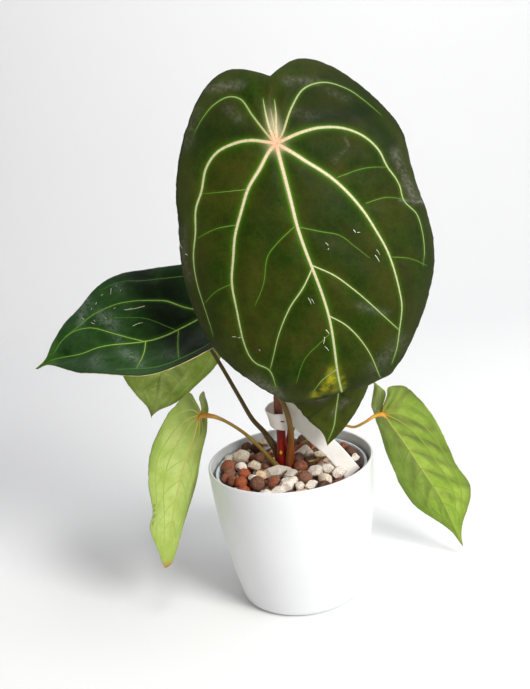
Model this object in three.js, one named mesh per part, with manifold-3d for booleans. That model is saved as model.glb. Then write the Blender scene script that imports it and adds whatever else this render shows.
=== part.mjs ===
// Potted anthurium: six heart-shaped leaves on long stalks, in a white cover pot with a nursery liner,
// clay balls and pumice, and a looped plant label. Millimetres, +Z up, the origin at the centre of the
// pot's underside. The front of the plant faces -Y.
import * as THREE from 'three';
import { mergeVertices } from 'three/addons/utils/BufferGeometryUtils.js';
import Module from 'manifold-3d';

const wasm = await Module();
wasm.setup();

// Driving dimensions
const GAP = 0.35;                 // left free between pieces that touch
const POT_HEIGHT = 139;
const POT_RIM_RADIUS = 80;
const POT_FOOT_RADIUS = 60;
const POT_BELLY = 3.9;            // how far the wall bows out of a straight cone at half height
const POT_WALL = 2.6;
const POT_FLOOR = 3;
const POT_SIDES = 48;
const LIP_ROUNDING = 1.2;
const FOOT_ROUNDING = 8;
const GROOVE_RADIUS = 46;         // shallow moulded ring under the pot
const GROOVE_WIDTH = 5;
const GROOVE_DEPTH = 0.8;
const LINER_WALL = 1.2;
const LINER_TOP = 131;
const LINER_RIM_RADIUS = 72.5;
const LINER_FOOT_RADIUS = 51;
const LINER_FLANGE = 1.2;         // how far the liner's rolled rim stands out
const LINER_SIDES = 40;
const DRAIN_HOLE_RADIUS = 5;
const DRAIN_HOLE_COUNT = 6;
const DRAIN_RING_RADIUS = 34;
const SOIL_TOP = 121;             // level of the packed filling under the loose top layer
const STONE_PITCH = 14;
const STONE_JITTER = 1.7;         // each stone may stray this far from its place in the grid
const STONE_RADIUS = [6.1, 7.4];
const STONE_RISE = 2.6;           // the highest stone's centre above the packed filling
const STONE_FIELD = 69;           // the top layer reaches this far from the centre
const PUMICE_SHARE = [0.4, 0.62]; // of the stones on the left and on the right
const CROWN_AT = [-5.5, 7];
const CROWN_RADIUS = 8;
const CROWN_FOOT = 102;
const SOCKET_DEPTH = 60;
const BLADE_THICKNESS = 0.8;
const LOBE_TUCK = 2.2;            // how deep the left lobe is tucked under the right one at the notch
const MARGIN_STEPS = 240;         // points that a margin is drawn with before it is divided into rows
const STALK_SIDES = 8;
const LABEL_WIDTH = 15;
const LABEL_THICKNESS = 0.6;
const LABEL_TAIL = [56, -23];     // where the label's end stands among the stones

const rad = THREE.MathUtils.degToRad;
const lerp = THREE.MathUtils.lerp;
const vec = (p) => new THREE.Vector3(p[0], p[1], p[2]);

// Value at x of a curve that eases from key to key; keys are [x, value] in rising x
function ease(keys, x) {
  const last = keys.length - 1;
  if (x <= keys[0][0]) return keys[0][1];
  if (x >= keys[last][0]) return keys[last][1];
  const i = keys.findIndex((key) => key[0] > x) - 1;
  const [x0, y0] = keys[i];
  const [x1, y1] = keys[i + 1];
  return lerp(y0, y1, THREE.MathUtils.smoothstep(x, x0, x1));
}

// Repeatable random numbers from 0 to 1
function seeded(seed) {
  let state = seed;
  return () => {
    state = (state * 16807) % 2147483647;
    return state / 2147483647;
  };
}

function geometryOf(points, triangles) {
  const geometry = new THREE.BufferGeometry();
  const flat = points.flatMap((p) => [p.x, p.y, p.z]);
  geometry.setAttribute('position', new THREE.Float32BufferAttribute(flat, 3));
  geometry.setIndex(triangles.flat());
  return geometry;
}

function solidOf(geometry) {
  const bare = geometry.clone();
  bare.deleteAttribute('normal');
  bare.deleteAttribute('uv');
  const merged = mergeVertices(bare, 1e-4);
  return new wasm.Manifold(new wasm.Mesh({
    numProp: 3,
    vertProperties: new Float32Array(merged.attributes.position.array),
    triVerts: new Uint32Array(merged.index.array),
  }));
}

function geometryFrom(solid) {
  const mesh = solid.getMesh();
  const geometry = new THREE.BufferGeometry();
  geometry.setAttribute('position', new THREE.BufferAttribute(mesh.vertProperties, 3));
  geometry.setIndex(new THREE.BufferAttribute(mesh.triVerts, 1));
  return geometry;
}

// The main body of a fused solid: sealed hollows are filled and loose scraps dropped
function whole(solid) {
  return solid.decompose().reduce((best, piece) => (piece.volume() > best.volume() ? piece : best));
}

// A turned body: the outline of [radius, height] starts and ends on the axis, anticlockwise seen from +Y
function turned(outline, sides) {
  const points = [];
  const rings = outline.map(([radius, height]) => {
    const ring = [];
    for (let k = 0; k < (radius > 0 ? sides : 1); k += 1) {
      const angle = (k / sides) * 2 * Math.PI;
      const corner = new THREE.Vector3(radius * Math.cos(angle), radius * Math.sin(angle), height);
      ring.push(points.push(corner) - 1);
    }
    return ring;
  });
  const triangles = [];
  for (let i = 0; i + 1 < rings.length; i += 1) {
    const [low, high] = [rings[i], rings[i + 1]];
    for (let k = 0; k < sides; k += 1) {
      const next = (k + 1) % sides;
      const pick = (ring, at) => ring[ring.length === 1 ? 0 : at];
      if (low.length > 1) triangles.push([pick(low, k), pick(low, next), pick(high, next)]);
      if (high.length > 1) triangles.push([pick(low, k), pick(high, next), pick(high, k)]);
    }
  }
  return geometryOf(points, triangles);
}

// A round stalk along a smooth path of [x, y, z, radius] stations, closed by flat ends
function stalk(stations, sides, steps) {
  const curve = new THREE.CatmullRomCurve3(stations.map(vec), false, 'centripetal');
  const frames = curve.computeFrenetFrames(steps, false);
  const points = [];
  const ringAt = (i) => 1 + i * sides;
  points.push(curve.getPointAt(0));
  for (let i = 0; i <= steps; i += 1) {
    const along = i / steps;
    const centre = curve.getPointAt(along);
    const place = curve.getUtoTmapping(along) * (stations.length - 1);
    const near = Math.min(Math.floor(place), stations.length - 2);
    const radius = lerp(stations[near][3], stations[near + 1][3], place - near);
    for (let k = 0; k < sides; k += 1) {
      const angle = (k / sides) * 2 * Math.PI;
      points.push(centre.clone()
        .addScaledVector(frames.normals[i], radius * Math.cos(angle))
        .addScaledVector(frames.binormals[i], radius * Math.sin(angle)));
    }
  }
  points.push(curve.getPointAt(1));
  const triangles = [];
  for (let k = 0; k < sides; k += 1) {
    const next = (k + 1) % sides;
    triangles.push([0, ringAt(0) + next, ringAt(0) + k]);
    triangles.push([points.length - 1, ringAt(steps) + k, ringAt(steps) + next]);
    for (let i = 0; i < steps; i += 1) {
      triangles.push([ringAt(i) + k, ringAt(i) + next, ringAt(i + 1) + next]);
      triangles.push([ringAt(i) + k, ringAt(i + 1) + next, ringAt(i + 1) + k]);
    }
  }
  return geometryOf(points, triangles);
}

// A leaf blade is drawn flat, in mm from where its stalk meets it: u across to the leaf's side, v along
// the midrib to the tip, below 0 in the two basal lobes. bladeFrame hangs that drawing in space.
function bladeFrame(leaf) {
  const [yaw, tilt, spin] = leaf.turn.map(rad);
  const flat = Math.cos(tilt);
  const out = new THREE.Vector3(Math.sin(yaw) * flat, -Math.cos(yaw) * flat, Math.sin(tilt));
  const level = new THREE.Vector3(Math.cos(yaw), Math.sin(yaw), 0);
  const down = level.clone().cross(out);
  const along = down.clone().multiplyScalar(Math.cos(spin)).addScaledVector(level, Math.sin(spin));
  const side = level.clone().multiplyScalar(Math.cos(spin)).addScaledVector(down, -Math.sin(spin));
  return { origin: vec(leaf.at), along, side, out };
}

// Follows a line that is bent by the angle bend(s), in degrees, from 0 to length: [forward, sideways]
function follow(bend, length) {
  const pieces = Math.max(1, Math.ceil(Math.abs(length) / 2));
  const step = length / pieces;
  let forward = 0;
  let sideways = 0;
  for (let i = 0; i < pieces; i += 1) {
    const angle = rad(bend((i + 0.5) * step));
    forward += Math.cos(angle) * step;
    sideways -= Math.sin(angle) * step;
  }
  return [forward, sideways];
}

function bladePoint(leaf, frame, u, v, lift) {
  const arch = rad(ease(leaf.arch, v));
  const [ahead, rise] = follow((s) => ease(leaf.arch, s), v);
  const droop = u < 0 ? leaf.left : leaf.right;
  const hold = ease(leaf.hold, v);
  const [reach, sag] = follow((s) => hold * ease(droop, s), Math.abs(u));
  const twist = rad(ease(leaf.twist, v));
  const flatX = Math.sign(u) * reach;
  const flatZ = sag + lift;
  const x = flatX * Math.cos(twist) - flatZ * Math.sin(twist) + ease(leaf.sway, v);
  const z = flatX * Math.sin(twist) + flatZ * Math.cos(twist);
  return frame.origin.clone()
    .addScaledVector(frame.along, ahead + z * Math.sin(arch))
    .addScaledVector(frame.out, rise + z * Math.cos(arch))
    .addScaledVector(frame.side, x);
}

// Points spread evenly by length over a smooth curve through flat [u, v] points
function spread(outline, count) {
  const through = outline.map(([u, v]) => new THREE.Vector3(u, v, 0));
  const curve = new THREE.CatmullRomCurve3(through, false, 'centripetal');
  return curve.getSpacedPoints(count).map((p) => [p.x, p.y]);
}

// The flat drawing of one half: rows of points that run from the midrib, or from the edge of the notch
// between the lobes, out to the margin. The last row is the tip.
function halfRows(leaf, margin, notchEdge, lobeRows, bladeRows) {
  const tip = margin[margin.length - 1];
  const [u, v] = margin.find((p, i) => i > 2 && p[1] > leaf.shoulder);
  const smooth = spread(margin, MARGIN_STEPS);
  const offsets = smooth.map((p) => Math.hypot(p[0] - u, p[1] - v));
  const shoulder = offsets.indexOf(Math.min(...offsets));
  const lobe = spread(smooth.slice(0, shoulder + 1), lobeRows);
  const rest = spread(smooth.slice(shoulder), bladeRows);
  const rows = [];
  for (let i = 0; i < lobeRows; i += 1) {
    const t = i / lobeRows;
    rows.push({ inner: [lerp(notchEdge[0], 0, t), lerp(notchEdge[1], leaf.notchRoot, t)], outer: lobe[i] });
  }
  const start = rest[0][1];
  for (let i = 0; i <= bladeRows; i += 1) {
    const t = (rest[i][1] - start) / (tip[1] - start);
    rows.push({ inner: [0, lerp(leaf.notchRoot, tip[1], t)], outer: rest[i] });
  }
  return rows;
}

function blade(leaf) {
  const frame = bladeFrame(leaf);
  const { columns, lobeRows, bladeRows } = leaf;
  const points = [];
  const seen = new Map();
  const around = (u, v, lift) => bladePoint(leaf, frame, u, v, lift);
  // each flat point gives one point on the upper face and one on the lower
  const pair = (u, v, lift, key) => {
    if (seen.has(key)) return seen.get(key);
    const d = 0.5;
    const centre = around(u, v, lift);
    const across = around(u + d, v, lift).sub(around(u - d, v, lift));
    const lengthwise = around(u, v + d, lift).sub(around(u, v - d, lift));
    const normal = lengthwise.cross(across).normalize().multiplyScalar(BLADE_THICKNESS / 2);
    const top = points.push(centre.clone().add(normal)) - 1;
    const bottom = points.push(centre.clone().sub(normal)) - 1;
    seen.set(key, [top, bottom]);
    return [top, bottom];
  };
  const triangles = [];
  const rims = [];
  for (const [name, sign, margin, notchEdge] of [
    ['left', -1, leaf.leftMargin, leaf.leftNotch], ['right', 1, leaf.rightMargin, leaf.rightNotch]]) {
    const rows = halfRows(leaf, margin, notchEdge, lobeRows, bladeRows);
    const last = rows.length - 1;
    const grid = rows.map((row, i) => {
      const cells = [];
      for (let j = 0; j <= columns; j += 1) {
        const t = j / columns;
        const [u, v] = [lerp(row.inner[0], row.outer[0], t), lerp(row.inner[1], row.outer[1], t)];
        const wave = leaf.wave * t ** 3 * Math.sin(leaf.waves * Math.PI * (i / last) + sign * leaf.phase);
        const tuck = sign < 0 && i < lobeRows ? -LOBE_TUCK * (1 - t) * (1 - i / lobeRows) : 0;
        let key = `${name} ${i} ${j}`;
        if (j === 0 && i >= lobeRows) key = `midrib ${i}`;
        if (i === last) key = 'tip';
        if (i === 0) key = `${name} notch`;
        cells.push(pair(i === last ? 0 : u, v, j === 0 && i >= lobeRows ? 0 : wave + tuck, key));
      }
      return cells;
    });
    for (let i = 0; i < last; i += 1) {
      for (let j = 0; j < columns; j += 1) {
        const [a, b, c, d] = [grid[i][j], grid[i][j + 1], grid[i + 1][j + 1], grid[i + 1][j]];
        const faces = a === b ? [[a, c, d]] : c === d ? [[a, b, c]] : [[a, b, c], [a, c, d]];
        for (const [p, q, r] of faces) {
          triangles.push(sign > 0 ? [p[0], r[0], q[0]] : [p[0], q[0], r[0]]);
          triangles.push(sign > 0 ? [p[1], q[1], r[1]] : [p[1], r[1], q[1]]);
        }
      }
    }
    const edge = [];
    for (let i = lobeRows; i > 0; i -= 1) edge.push(grid[i][0]);
    for (let i = 0; i <= last; i += 1) edge.push(grid[i][columns]);
    rims.push(edge);
  }
  // the thin side wall round the margin, the notch and the tip
  for (const [rim, flip] of [[rims[0], false], [rims[1], true]]) {
    for (let i = 0; i + 1 < rim.length; i += 1) {
      const [[a, b], [c, d]] = [rim[i], rim[i + 1]];
      triangles.push(flip ? [a, c, d] : [a, d, c]);
      triangles.push(flip ? [a, d, b] : [a, b, d]);
    }
  }
  return geometryOf(points, triangles);
}

// The point on a leaf's underside where its stalk ends, and the one a little before it
function stalkEnd(leaf, radius, approach) {
  const frame = bladeFrame(leaf);
  const centre = bladePoint(leaf, frame, 0, 0, 0);
  const arch = rad(ease(leaf.arch, 0));
  const out = frame.out.clone().multiplyScalar(Math.cos(arch)).addScaledVector(frame.along, Math.sin(arch));
  const away = (distance) => centre.clone().addScaledVector(out, -distance).toArray();
  return [[...away(approach), radius], [...away(BLADE_THICKNESS / 2 + GAP + 0.05 * radius), radius]];
}

// A flat band along stations of { at, across }, across being the direction of its width
function band(stations, width, thickness, steps) {
  const centres = new THREE.CatmullRomCurve3(stations.map((s) => vec(s.at)), false, 'centripetal');
  const widths = new THREE.CatmullRomCurve3(stations.map((s) => vec(s.across).normalize()));
  const points = [];
  for (let i = 0; i <= steps; i += 1) {
    const t = i / steps;
    const centre = centres.getPoint(t);
    const tangent = centres.getTangent(t);
    const across = widths.getPoint(t);
    across.addScaledVector(tangent, -across.dot(tangent)).normalize();
    const face = tangent.clone().cross(across);
    for (const [w, h] of [[-1, -1], [1, -1], [1, 1], [-1, 1]]) {
      points.push(centre.clone().addScaledVector(across, (w * width) / 2)
        .addScaledVector(face, (h * thickness) / 2));
    }
  }
  const end = steps * 4;
  const triangles = [[0, 2, 1], [0, 3, 2], [end, end + 1, end + 2], [end, end + 2, end + 3]];
  for (let i = 0; i < steps; i += 1) {
    for (let k = 0; k < 4; k += 1) {
      const [a, b] = [i * 4 + k, i * 4 + ((k + 1) % 4)];
      triangles.push([a, b, b + 4]);
      triangles.push([a, b + 4, a + 4]);
    }
  }
  return geometryOf(points, triangles);
}

// Outer radius of the cover pot at a height
function potRadius(height) {
  const t = height / POT_HEIGHT;
  return lerp(POT_FOOT_RADIUS, POT_RIM_RADIUS, t) + POT_BELLY * 4 * t * (1 - t);
}

function linerRadius(height) {
  return lerp(LINER_FOOT_RADIUS, LINER_RIM_RADIUS, (height - POT_FLOOR) / (LINER_TOP - POT_FLOOR));
}

function coverPot() {
  const outline = [
    [0, 0],
    [GROOVE_RADIUS - GROOVE_WIDTH / 2, 0],
    [GROOVE_RADIUS - GROOVE_WIDTH / 4, GROOVE_DEPTH],
    [GROOVE_RADIUS + GROOVE_WIDTH / 4, GROOVE_DEPTH],
    [GROOVE_RADIUS + GROOVE_WIDTH / 2, 0],
  ];
  const corner = potRadius(FOOT_ROUNDING);
  for (const angle of [-90, -55, -25]) {
    const [across, up] = [Math.cos(rad(angle)), Math.sin(rad(angle))];
    outline.push([corner - FOOT_ROUNDING * (1 - across), FOOT_ROUNDING * (1 + up)]);
  }
  const lipStart = POT_HEIGHT - LIP_ROUNDING - 1;
  for (const height of [FOOT_ROUNDING, 30, 56, 84, 112, lipStart]) outline.push([potRadius(height), height]);
  const lip = [POT_RIM_RADIUS - POT_WALL / 2, POT_HEIGHT - LIP_ROUNDING];
  for (const angle of [40, 90, 140]) {
    const [across, up] = [Math.cos(rad(angle)), Math.sin(rad(angle))];
    outline.push([lip[0] + LIP_ROUNDING * across, lip[1] + LIP_ROUNDING * up]);
  }
  for (const height of [lipStart, 104, 70, 38, POT_FLOOR + 6]) {
    outline.push([potRadius(height) - POT_WALL, height]);
  }
  outline.push([potRadius(POT_FLOOR) - POT_WALL - 5, POT_FLOOR], [0, POT_FLOOR]);
  return turned(outline, POT_SIDES);
}

function nurseryLiner() {
  const foot = POT_FLOOR + GAP;
  const inner = (height) => linerRadius(height) - LINER_WALL;
  const shell = solidOf(turned([
    [0, foot], [LINER_FOOT_RADIUS - 3, foot], [linerRadius(foot + 3), foot + 3], [linerRadius(60), 60],
    [linerRadius(LINER_TOP - 4), LINER_TOP - 4], [LINER_RIM_RADIUS + LINER_FLANGE - 0.2, LINER_TOP - 3.4],
    [LINER_RIM_RADIUS + LINER_FLANGE, LINER_TOP - 0.6], [LINER_RIM_RADIUS + LINER_FLANGE / 2, LINER_TOP],
    [inner(LINER_TOP), LINER_TOP], [inner(60), 60], [inner(foot + 4), foot + 4],
    [LINER_FOOT_RADIUS - 4.5, foot + LINER_WALL], [0, foot + LINER_WALL],
  ], LINER_SIDES));
  let cut = shell;
  for (let k = 0; k < DRAIN_HOLE_COUNT; k += 1) {
    const angle = (k / DRAIN_HOLE_COUNT) * 2 * Math.PI;
    const hole = new THREE.CylinderGeometry(DRAIN_HOLE_RADIUS, DRAIN_HOLE_RADIUS, 6, 10);
    hole.rotateX(Math.PI / 2);
    hole.translate(DRAIN_RING_RADIUS * Math.cos(angle), DRAIN_RING_RADIUS * Math.sin(angle), foot + 1);
    cut = cut.subtract(solidOf(hole));
  }
  return geometryFrom(cut);
}

// One clay ball, or one angular lump of pumice, of the loose top layer
function stone(centre, radius, angular, random) {
  const shape = new THREE.IcosahedronGeometry(radius, angular ? 0 : 1);
  shape.deleteAttribute('normal');
  shape.deleteAttribute('uv');
  const merged = mergeVertices(shape);
  const at = merged.attributes.position;
  for (let i = 0; angular && i < at.count; i += 1) {
    const scale = 0.95 + 0.3 * random();
    at.setXYZ(i, at.getX(i) * scale, at.getY(i) * scale, at.getZ(i) * scale);
  }
  if (angular) merged.scale(1.1 + 0.25 * random(), 0.9, 0.8);
  merged.rotateZ(random() * Math.PI);
  merged.translate(centre[0], centre[1], centre[2]);
  return solidOf(merged);
}

// Places of the loose top layer: a jittered triangular grid, left free round the crown and the label's end
function stonePlaces() {
  const random = seeded(4882);
  const places = [];
  const rowPitch = STONE_PITCH * Math.sqrt(0.75);
  for (let row = -5; row <= 5; row += 1) {
    for (let column = -5; column <= 5; column += 1) {
      const stray = () => (2 * random() - 1) * STONE_JITTER;
      const x = (column + (row % 2 === 0 ? 0 : 0.5)) * STONE_PITCH + stray();
      const y = row * rowPitch + stray();
      const radius = lerp(STONE_RADIUS[0], STONE_RADIUS[1], random());
      const rise = STONE_RISE * random();
      const angular = random() < PUMICE_SHARE[x > 0 ? 1 : 0];
      const nearCrown = Math.hypot(x - CROWN_AT[0], y - CROWN_AT[1]) < CROWN_RADIUS + radius + 2.5;
      const nearLabel = Math.hypot(x - LABEL_TAIL[0], y - LABEL_TAIL[1]) < radius + LABEL_WIDTH / 2 - 1;
      const outside = Math.hypot(x, y) + radius * (angular ? 1.3 : 1) > STONE_FIELD;
      if (outside || nearCrown || nearLabel) continue;
      places.push({ centre: [x, y, SOIL_TOP + rise], radius, angular });
    }
  }
  return places;
}

function substrate() {
  const floor = POT_FLOOR + GAP + LINER_WALL + GAP;
  const inside = (height) => linerRadius(height) - LINER_WALL - GAP;
  let fill = solidOf(turned([
    [0, floor], [LINER_FOOT_RADIUS - 6, floor], [inside(floor + 5), floor + 5], [inside(60), 60],
    [inside(SOIL_TOP - 2), SOIL_TOP - 2], [inside(SOIL_TOP - 2) - 2, SOIL_TOP], [0, SOIL_TOP],
  ], LINER_SIDES));
  const random = seeded(77);
  for (const { centre, radius, angular } of stonePlaces()) {
    fill = fill.add(stone(centre, radius, angular, random));
  }
  const socket = new THREE.CylinderGeometry(CROWN_RADIUS + 1, CROWN_RADIUS + 1, SOCKET_DEPTH, 16);
  socket.rotateX(Math.PI / 2);
  socket.translate(CROWN_AT[0], CROWN_AT[1], CROWN_FOOT - GAP + SOCKET_DEPTH / 2);
  return geometryFrom(whole(fill.subtract(solidOf(socket))));
}

// Leaves. at: where the stalk meets the blade. turn: heading, tilt and spin of the blade, degrees.
// arch: [v, angle] of the midrib's bend, away from the upper face. left, right: [u, angle] of the sides'
// droop. hold: [v, share] of that droop. sway: [v, u] of the midrib. The margins run from the notch round
// the lobe to the tip, as [u, v] from the midrib.
const plainLeaf = { sway: [[0, 0], [1, 0]], hold: [[0, 1], [1, 1]], twist: [[0, 0], [1, 0]], notchRoot: -3 };
const leaves = {
  leaf_1: {
    ...plainLeaf,
    at: [16, -62, 441.5],
    turn: [4, 8, 6],
    arch: [[-90, -34], [-30, -16], [60, -3], [140, 4], [203, 16], [237, 92], [249, 92], [271, 20], [309, 0]],
    left: [[0, 0], [20, 8], [70, 20], [110, 44], [140, 60]],
    right: [[0, 0], [20, 8], [70, 15], [110, 30], [140, 44]],
    hold: [[190, 1], [230, 0.6], [300, 0.8]],
    sway: [[0, 0], [60, 1], [155, 11], [222, 7], [317, -8]],
    leftNotch: [8, -56],
    rightNotch: [9.5, -56],
    shoulder: -20,
    leftMargin: [[8, -56], [0, -65], [-23, -73], [-43, -65], [-69, -36], [-89, 4], [-100, 48],
      [-113, 100], [-115, 134], [-103, 167], [-75, 195], [-52, 214], [-42, 235], [-32, 264],
      [-14, 290], [-3, 303], [0, 317]],
    rightMargin: [[9.5, -56], [17, -62], [37, -70], [59, -64], [88, -37], [113, -1], [117, 40], [120, 85],
      [113, 117], [91, 160], [67, 197], [52, 214], [44, 234], [43, 266], [31, 291], [16, 306], [0, 317]],
    wave: 1.6,
    waves: 9,
    phase: 0.7,
    columns: 7,
    lobeRows: 8,
    bladeRows: 26,
  },
  leaf_2: {
    ...plainLeaf,
    at: [-32.4, 14, 294],
    turn: [-14, 42, -73],
    arch: [[-60, -24], [0, -8], [100, 2], [200, 22], [230, 26]],
    left: [[0, -4], [40, 4], [80, 18]],
    right: [[0, -30], [40, -34], [80, -36]],
    sway: [[0, 0], [80, 13], [150, -1], [206, -14]],
    leftNotch: [-1, -20],
    rightNotch: [1, -20],
    shoulder: -12,
    leftMargin: [[-1, -20], [-9, -28], [-24, -31], [-44, -20], [-58, 10], [-67, 42], [-86, 79], [-89, 102],
      [-80, 120], [-55, 149], [-41, 172], [-18, 191], [-4, 202], [0, 218]],
    rightMargin: [[1, -20], [9, -28], [24, -31], [45, -24], [61, -2], [67, 36], [63, 67], [59, 105],
      [47, 134], [24, 167], [8, 196], [0, 218]],
    wave: 1.5,
    waves: 7,
    phase: 0.4,
    columns: 5,
    lobeRows: 6,
    bladeRows: 18,
  },
  leaf_3: {
    ...plainLeaf,
    at: [-86.5, 75, 276],
    turn: [196, 20, 20],
    arch: [[-60, -44], [0, -8], [90, 4], [150, 12]],
    left: [[0, -14], [40, 0], [80, 10]],
    right: [[0, -14], [40, 0], [80, 10]],
    leftNotch: [-1, -16],
    rightNotch: [1, -16],
    shoulder: -10,
    leftMargin: [[-1, -16], [-8, -25], [-24, -28], [-42, -18], [-55, 6], [-60, 36], [-56, 66], [-43, 93],
      [-24, 114], [-7, 125], [0, 132]],
    rightMargin: [[1, -16], [8, -25], [24, -28], [42, -18], [54, 6], [58, 36], [52, 68], [40, 90],
      [21, 110], [6, 122], [0, 132]],
    wave: 1.6,
    waves: 7,
    phase: 1.1,
    columns: 4,
    lobeRows: 5,
    bladeRows: 14,
  },
  leaf_4: {
    ...plainLeaf,
    at: [-79.3, -18, 199.6],
    turn: [218, 8, 20],
    hold: [[-20, 1.6], [70, 1]],
    arch: [[-40, -34], [0, -16], [50, 0], [100, 6], [160, 10]],
    left: [[0, -12], [20, -20], [44, -26]],
    right: [[0, -12], [20, -20], [44, -26]],
    sway: [[-25, 14], [0, 0], [25, -4], [60, -1], [100, 0]],
    leftNotch: [-0.5, -17],
    rightNotch: [4, -15],
    shoulder: -6,
    leftMargin: [[-0.5, -17], [-1, -24], [-4, -27], [-8, -23], [-10, -14], [-12, -2], [-20, 16], [-25, 30],
      [-28, 50], [-29, 75], [-24, 109], [-14, 140], [-8, 152], [0, 155]],
    rightMargin: [[4, -15], [6, -20], [10, -21], [17, -14], [25, -4], [34, 25], [36, 48], [31, 74],
      [20, 102], [21, 117], [10, 138], [3, 151], [0, 155]],
    wave: 0.9,
    waves: 6,
    phase: 0.5,
    columns: 4,
    lobeRows: 5,
    bladeRows: 16,
  },
  leaf_5: {
    ...plainLeaf,
    at: [94.9, 14, 167.5],
    turn: [157, 14, -24],
    hold: [[-30, 2], [50, 1]],
    arch: [[-40, -26], [0, -12], [60, 0], [110, 6], [180, 12]],
    left: [[0, -12], [20, -16], [50, -18]],
    right: [[0, -12], [20, -16], [50, -18]],
    sway: [[-25, -18], [0, 0], [20, 2], [80, 3], [110, 2], [174, 7]],
    twist: [[-20, 24], [60, 4], [170, -16]],
    leftNotch: [-1, -17],
    rightNotch: [1, -20],
    shoulder: -6,
    leftMargin: [[-1, -17], [-6, -26], [-12, -29], [-19, -25], [-27, -14], [-35, -3], [-37, 10], [-37, 40],
      [-36, 71], [-32, 92], [-32, 117], [-26, 131], [-10, 150], [-3, 163], [0, 173]],
    rightMargin: [[1, -20], [2, -30], [9, -35], [18, -31], [24, -20], [21, -8], [18, 0], [24, 20],
      [31, 45], [36, 76], [40, 92], [36, 113], [19, 134], [5, 155], [0, 173]],
    wave: 1.2,
    waves: 7,
    phase: 0.8,
    columns: 4,
    lobeRows: 5,
    bladeRows: 17,
  },
  leaf_6: {
    ...plainLeaf,
    at: [8, 48, 210],
    turn: [186, 4, 2],
    arch: [[-20, -20], [0, -8], [40, 4], [70, 10]],
    left: [[0, -10], [16, -16]],
    right: [[0, -10], [16, -16]],
    leftNotch: [-0.7, -6],
    rightNotch: [0.7, -6],
    shoulder: -4,
    leftMargin: [[-0.7, -6], [-3, -10], [-8, -11], [-13, -4], [-15, 12], [-13, 36], [-7, 56], [0, 69]],
    rightMargin: [[0.7, -6], [3, -10], [8, -11], [13, -4], [15, 12], [13, 36], [7, 56], [0, 69]],
    wave: 0.6,
    waves: 5,
    phase: 0.2,
    columns: 3,
    lobeRows: 4,
    bladeRows: 10,
  },
};

// Stalks, each from its sheath in the crown to its leaf: [x, y, z, radius] stations, then the swollen end,
// whose radius is given by end. approach is the length that it runs square to the blade.
const stalkPaths = {
  petiole_1: {
    leaf: 'leaf_1',
    end: 3.4,
    steps: 20,
    stations: [[-8.2, 4.5, 147, 3.9], [-8.8, 2.5, 172, 3.7], [-7.8, 0, 196, 3.5], [0, -1, 245, 3.3],
      [10.5, -4, 290, 3.2], [12.5, -10, 340, 3.1], [14, -22, 395, 3.1], [15, -38, 430, 3.4]],
  },
  petiole_2: {
    leaf: 'leaf_2',
    end: 2.6,
    steps: 16,
    stations: [[1, -6, 149, 3], [3, -11, 163, 2.8], [2.8, -13.4, 179, 2.7], [0.6, -14, 194, 2.6],
      [-5.4, -11, 208, 2.5], [-14.6, -5.5, 213.5, 2.4], [-24, 14, 236, 2.4], [-29, 24, 266, 2.5]],
  },
  petiole_3: {
    leaf: 'leaf_3',
    end: 2.4,
    steps: 16,
    stations: [[-16.3, 13.4, 151, 3], [-22.7, 17, 162, 2.6], [-32, 22, 173.5, 2.3], [-42.6, 29, 196, 2.1],
      [-54.2, 38, 221, 2], [-63.4, 44, 240, 2], [-74, 52, 262, 2.1]],
  },
  petiole_4: {
    leaf: 'leaf_4',
    end: 2.1,
    approach: 5,
    steps: 16,
    stations: [[-17.5, -1.6, 137.5, 2.1], [-27.9, -5, 154.8, 1.8], [-40.6, -11, 173.2, 1.7],
      [-56.6, -19, 190.5, 1.6], [-66.5, -24, 198.3, 2]],
  },
  petiole_5: {
    leaf: 'leaf_5',
    end: 1.9,
    approach: 5,
    steps: 16,
    stations: [[5, 10.8, 141.8, 1.7], [18.4, 11, 149.5, 1.4], [41.5, 9, 158.7, 1.3], [56, 6, 162.6, 1.3],
      [64.6, 3, 161.3, 1.3], [76, 1, 166, 1.4], [84, 3, 168.8, 1.7]],
  },
  petiole_6: {
    leaf: 'leaf_6',
    end: 1.6,
    steps: 16,
    stations: [[-1, 18, 145.5, 1.8], [2.1, 25, 158, 1.6], [4.6, 34, 178, 1.5], [5, 38, 194, 1.4],
      [6.8, 40.5, 205, 1.5]],
  },
};

function stalkStations({ leaf, end, stations, approach = 6 + end }) {
  return [...stations, ...stalkEnd(leaves[leaf], end, approach)];
}

// The crown: a short root stock in the filling that splits into one sheath for each stalk
function crown() {
  const [x, y] = CROWN_AT;
  let body = solidOf(stalk([
    [x, y, CROWN_FOOT, CROWN_RADIUS - 2.5], [x, y, CROWN_FOOT + 8, CROWN_RADIUS], [x, y, 120, CROWN_RADIUS],
    [x, y, 130, CROWN_RADIUS - 1.5],
  ], 12, 4));
  for (const { stations } of Object.values(stalkPaths)) {
    const [first, second] = stations.map(vec);
    const direction = second.sub(first).normalize();
    const top = first.clone().addScaledVector(direction, -GAP - 0.15);
    const below = top.clone().addScaledVector(direction, -7);
    const radius = stations[0][3];
    body = body.add(solidOf(stalk([
      [lerp(x, top.x, 0.2), lerp(y, top.y, 0.2), 116, radius + 1],
      [...below.toArray(), radius + 0.5],
      [...top.toArray(), radius + 0.2],
    ], 8, 4)));
  }
  return geometryFrom(whole(body));
}

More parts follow.
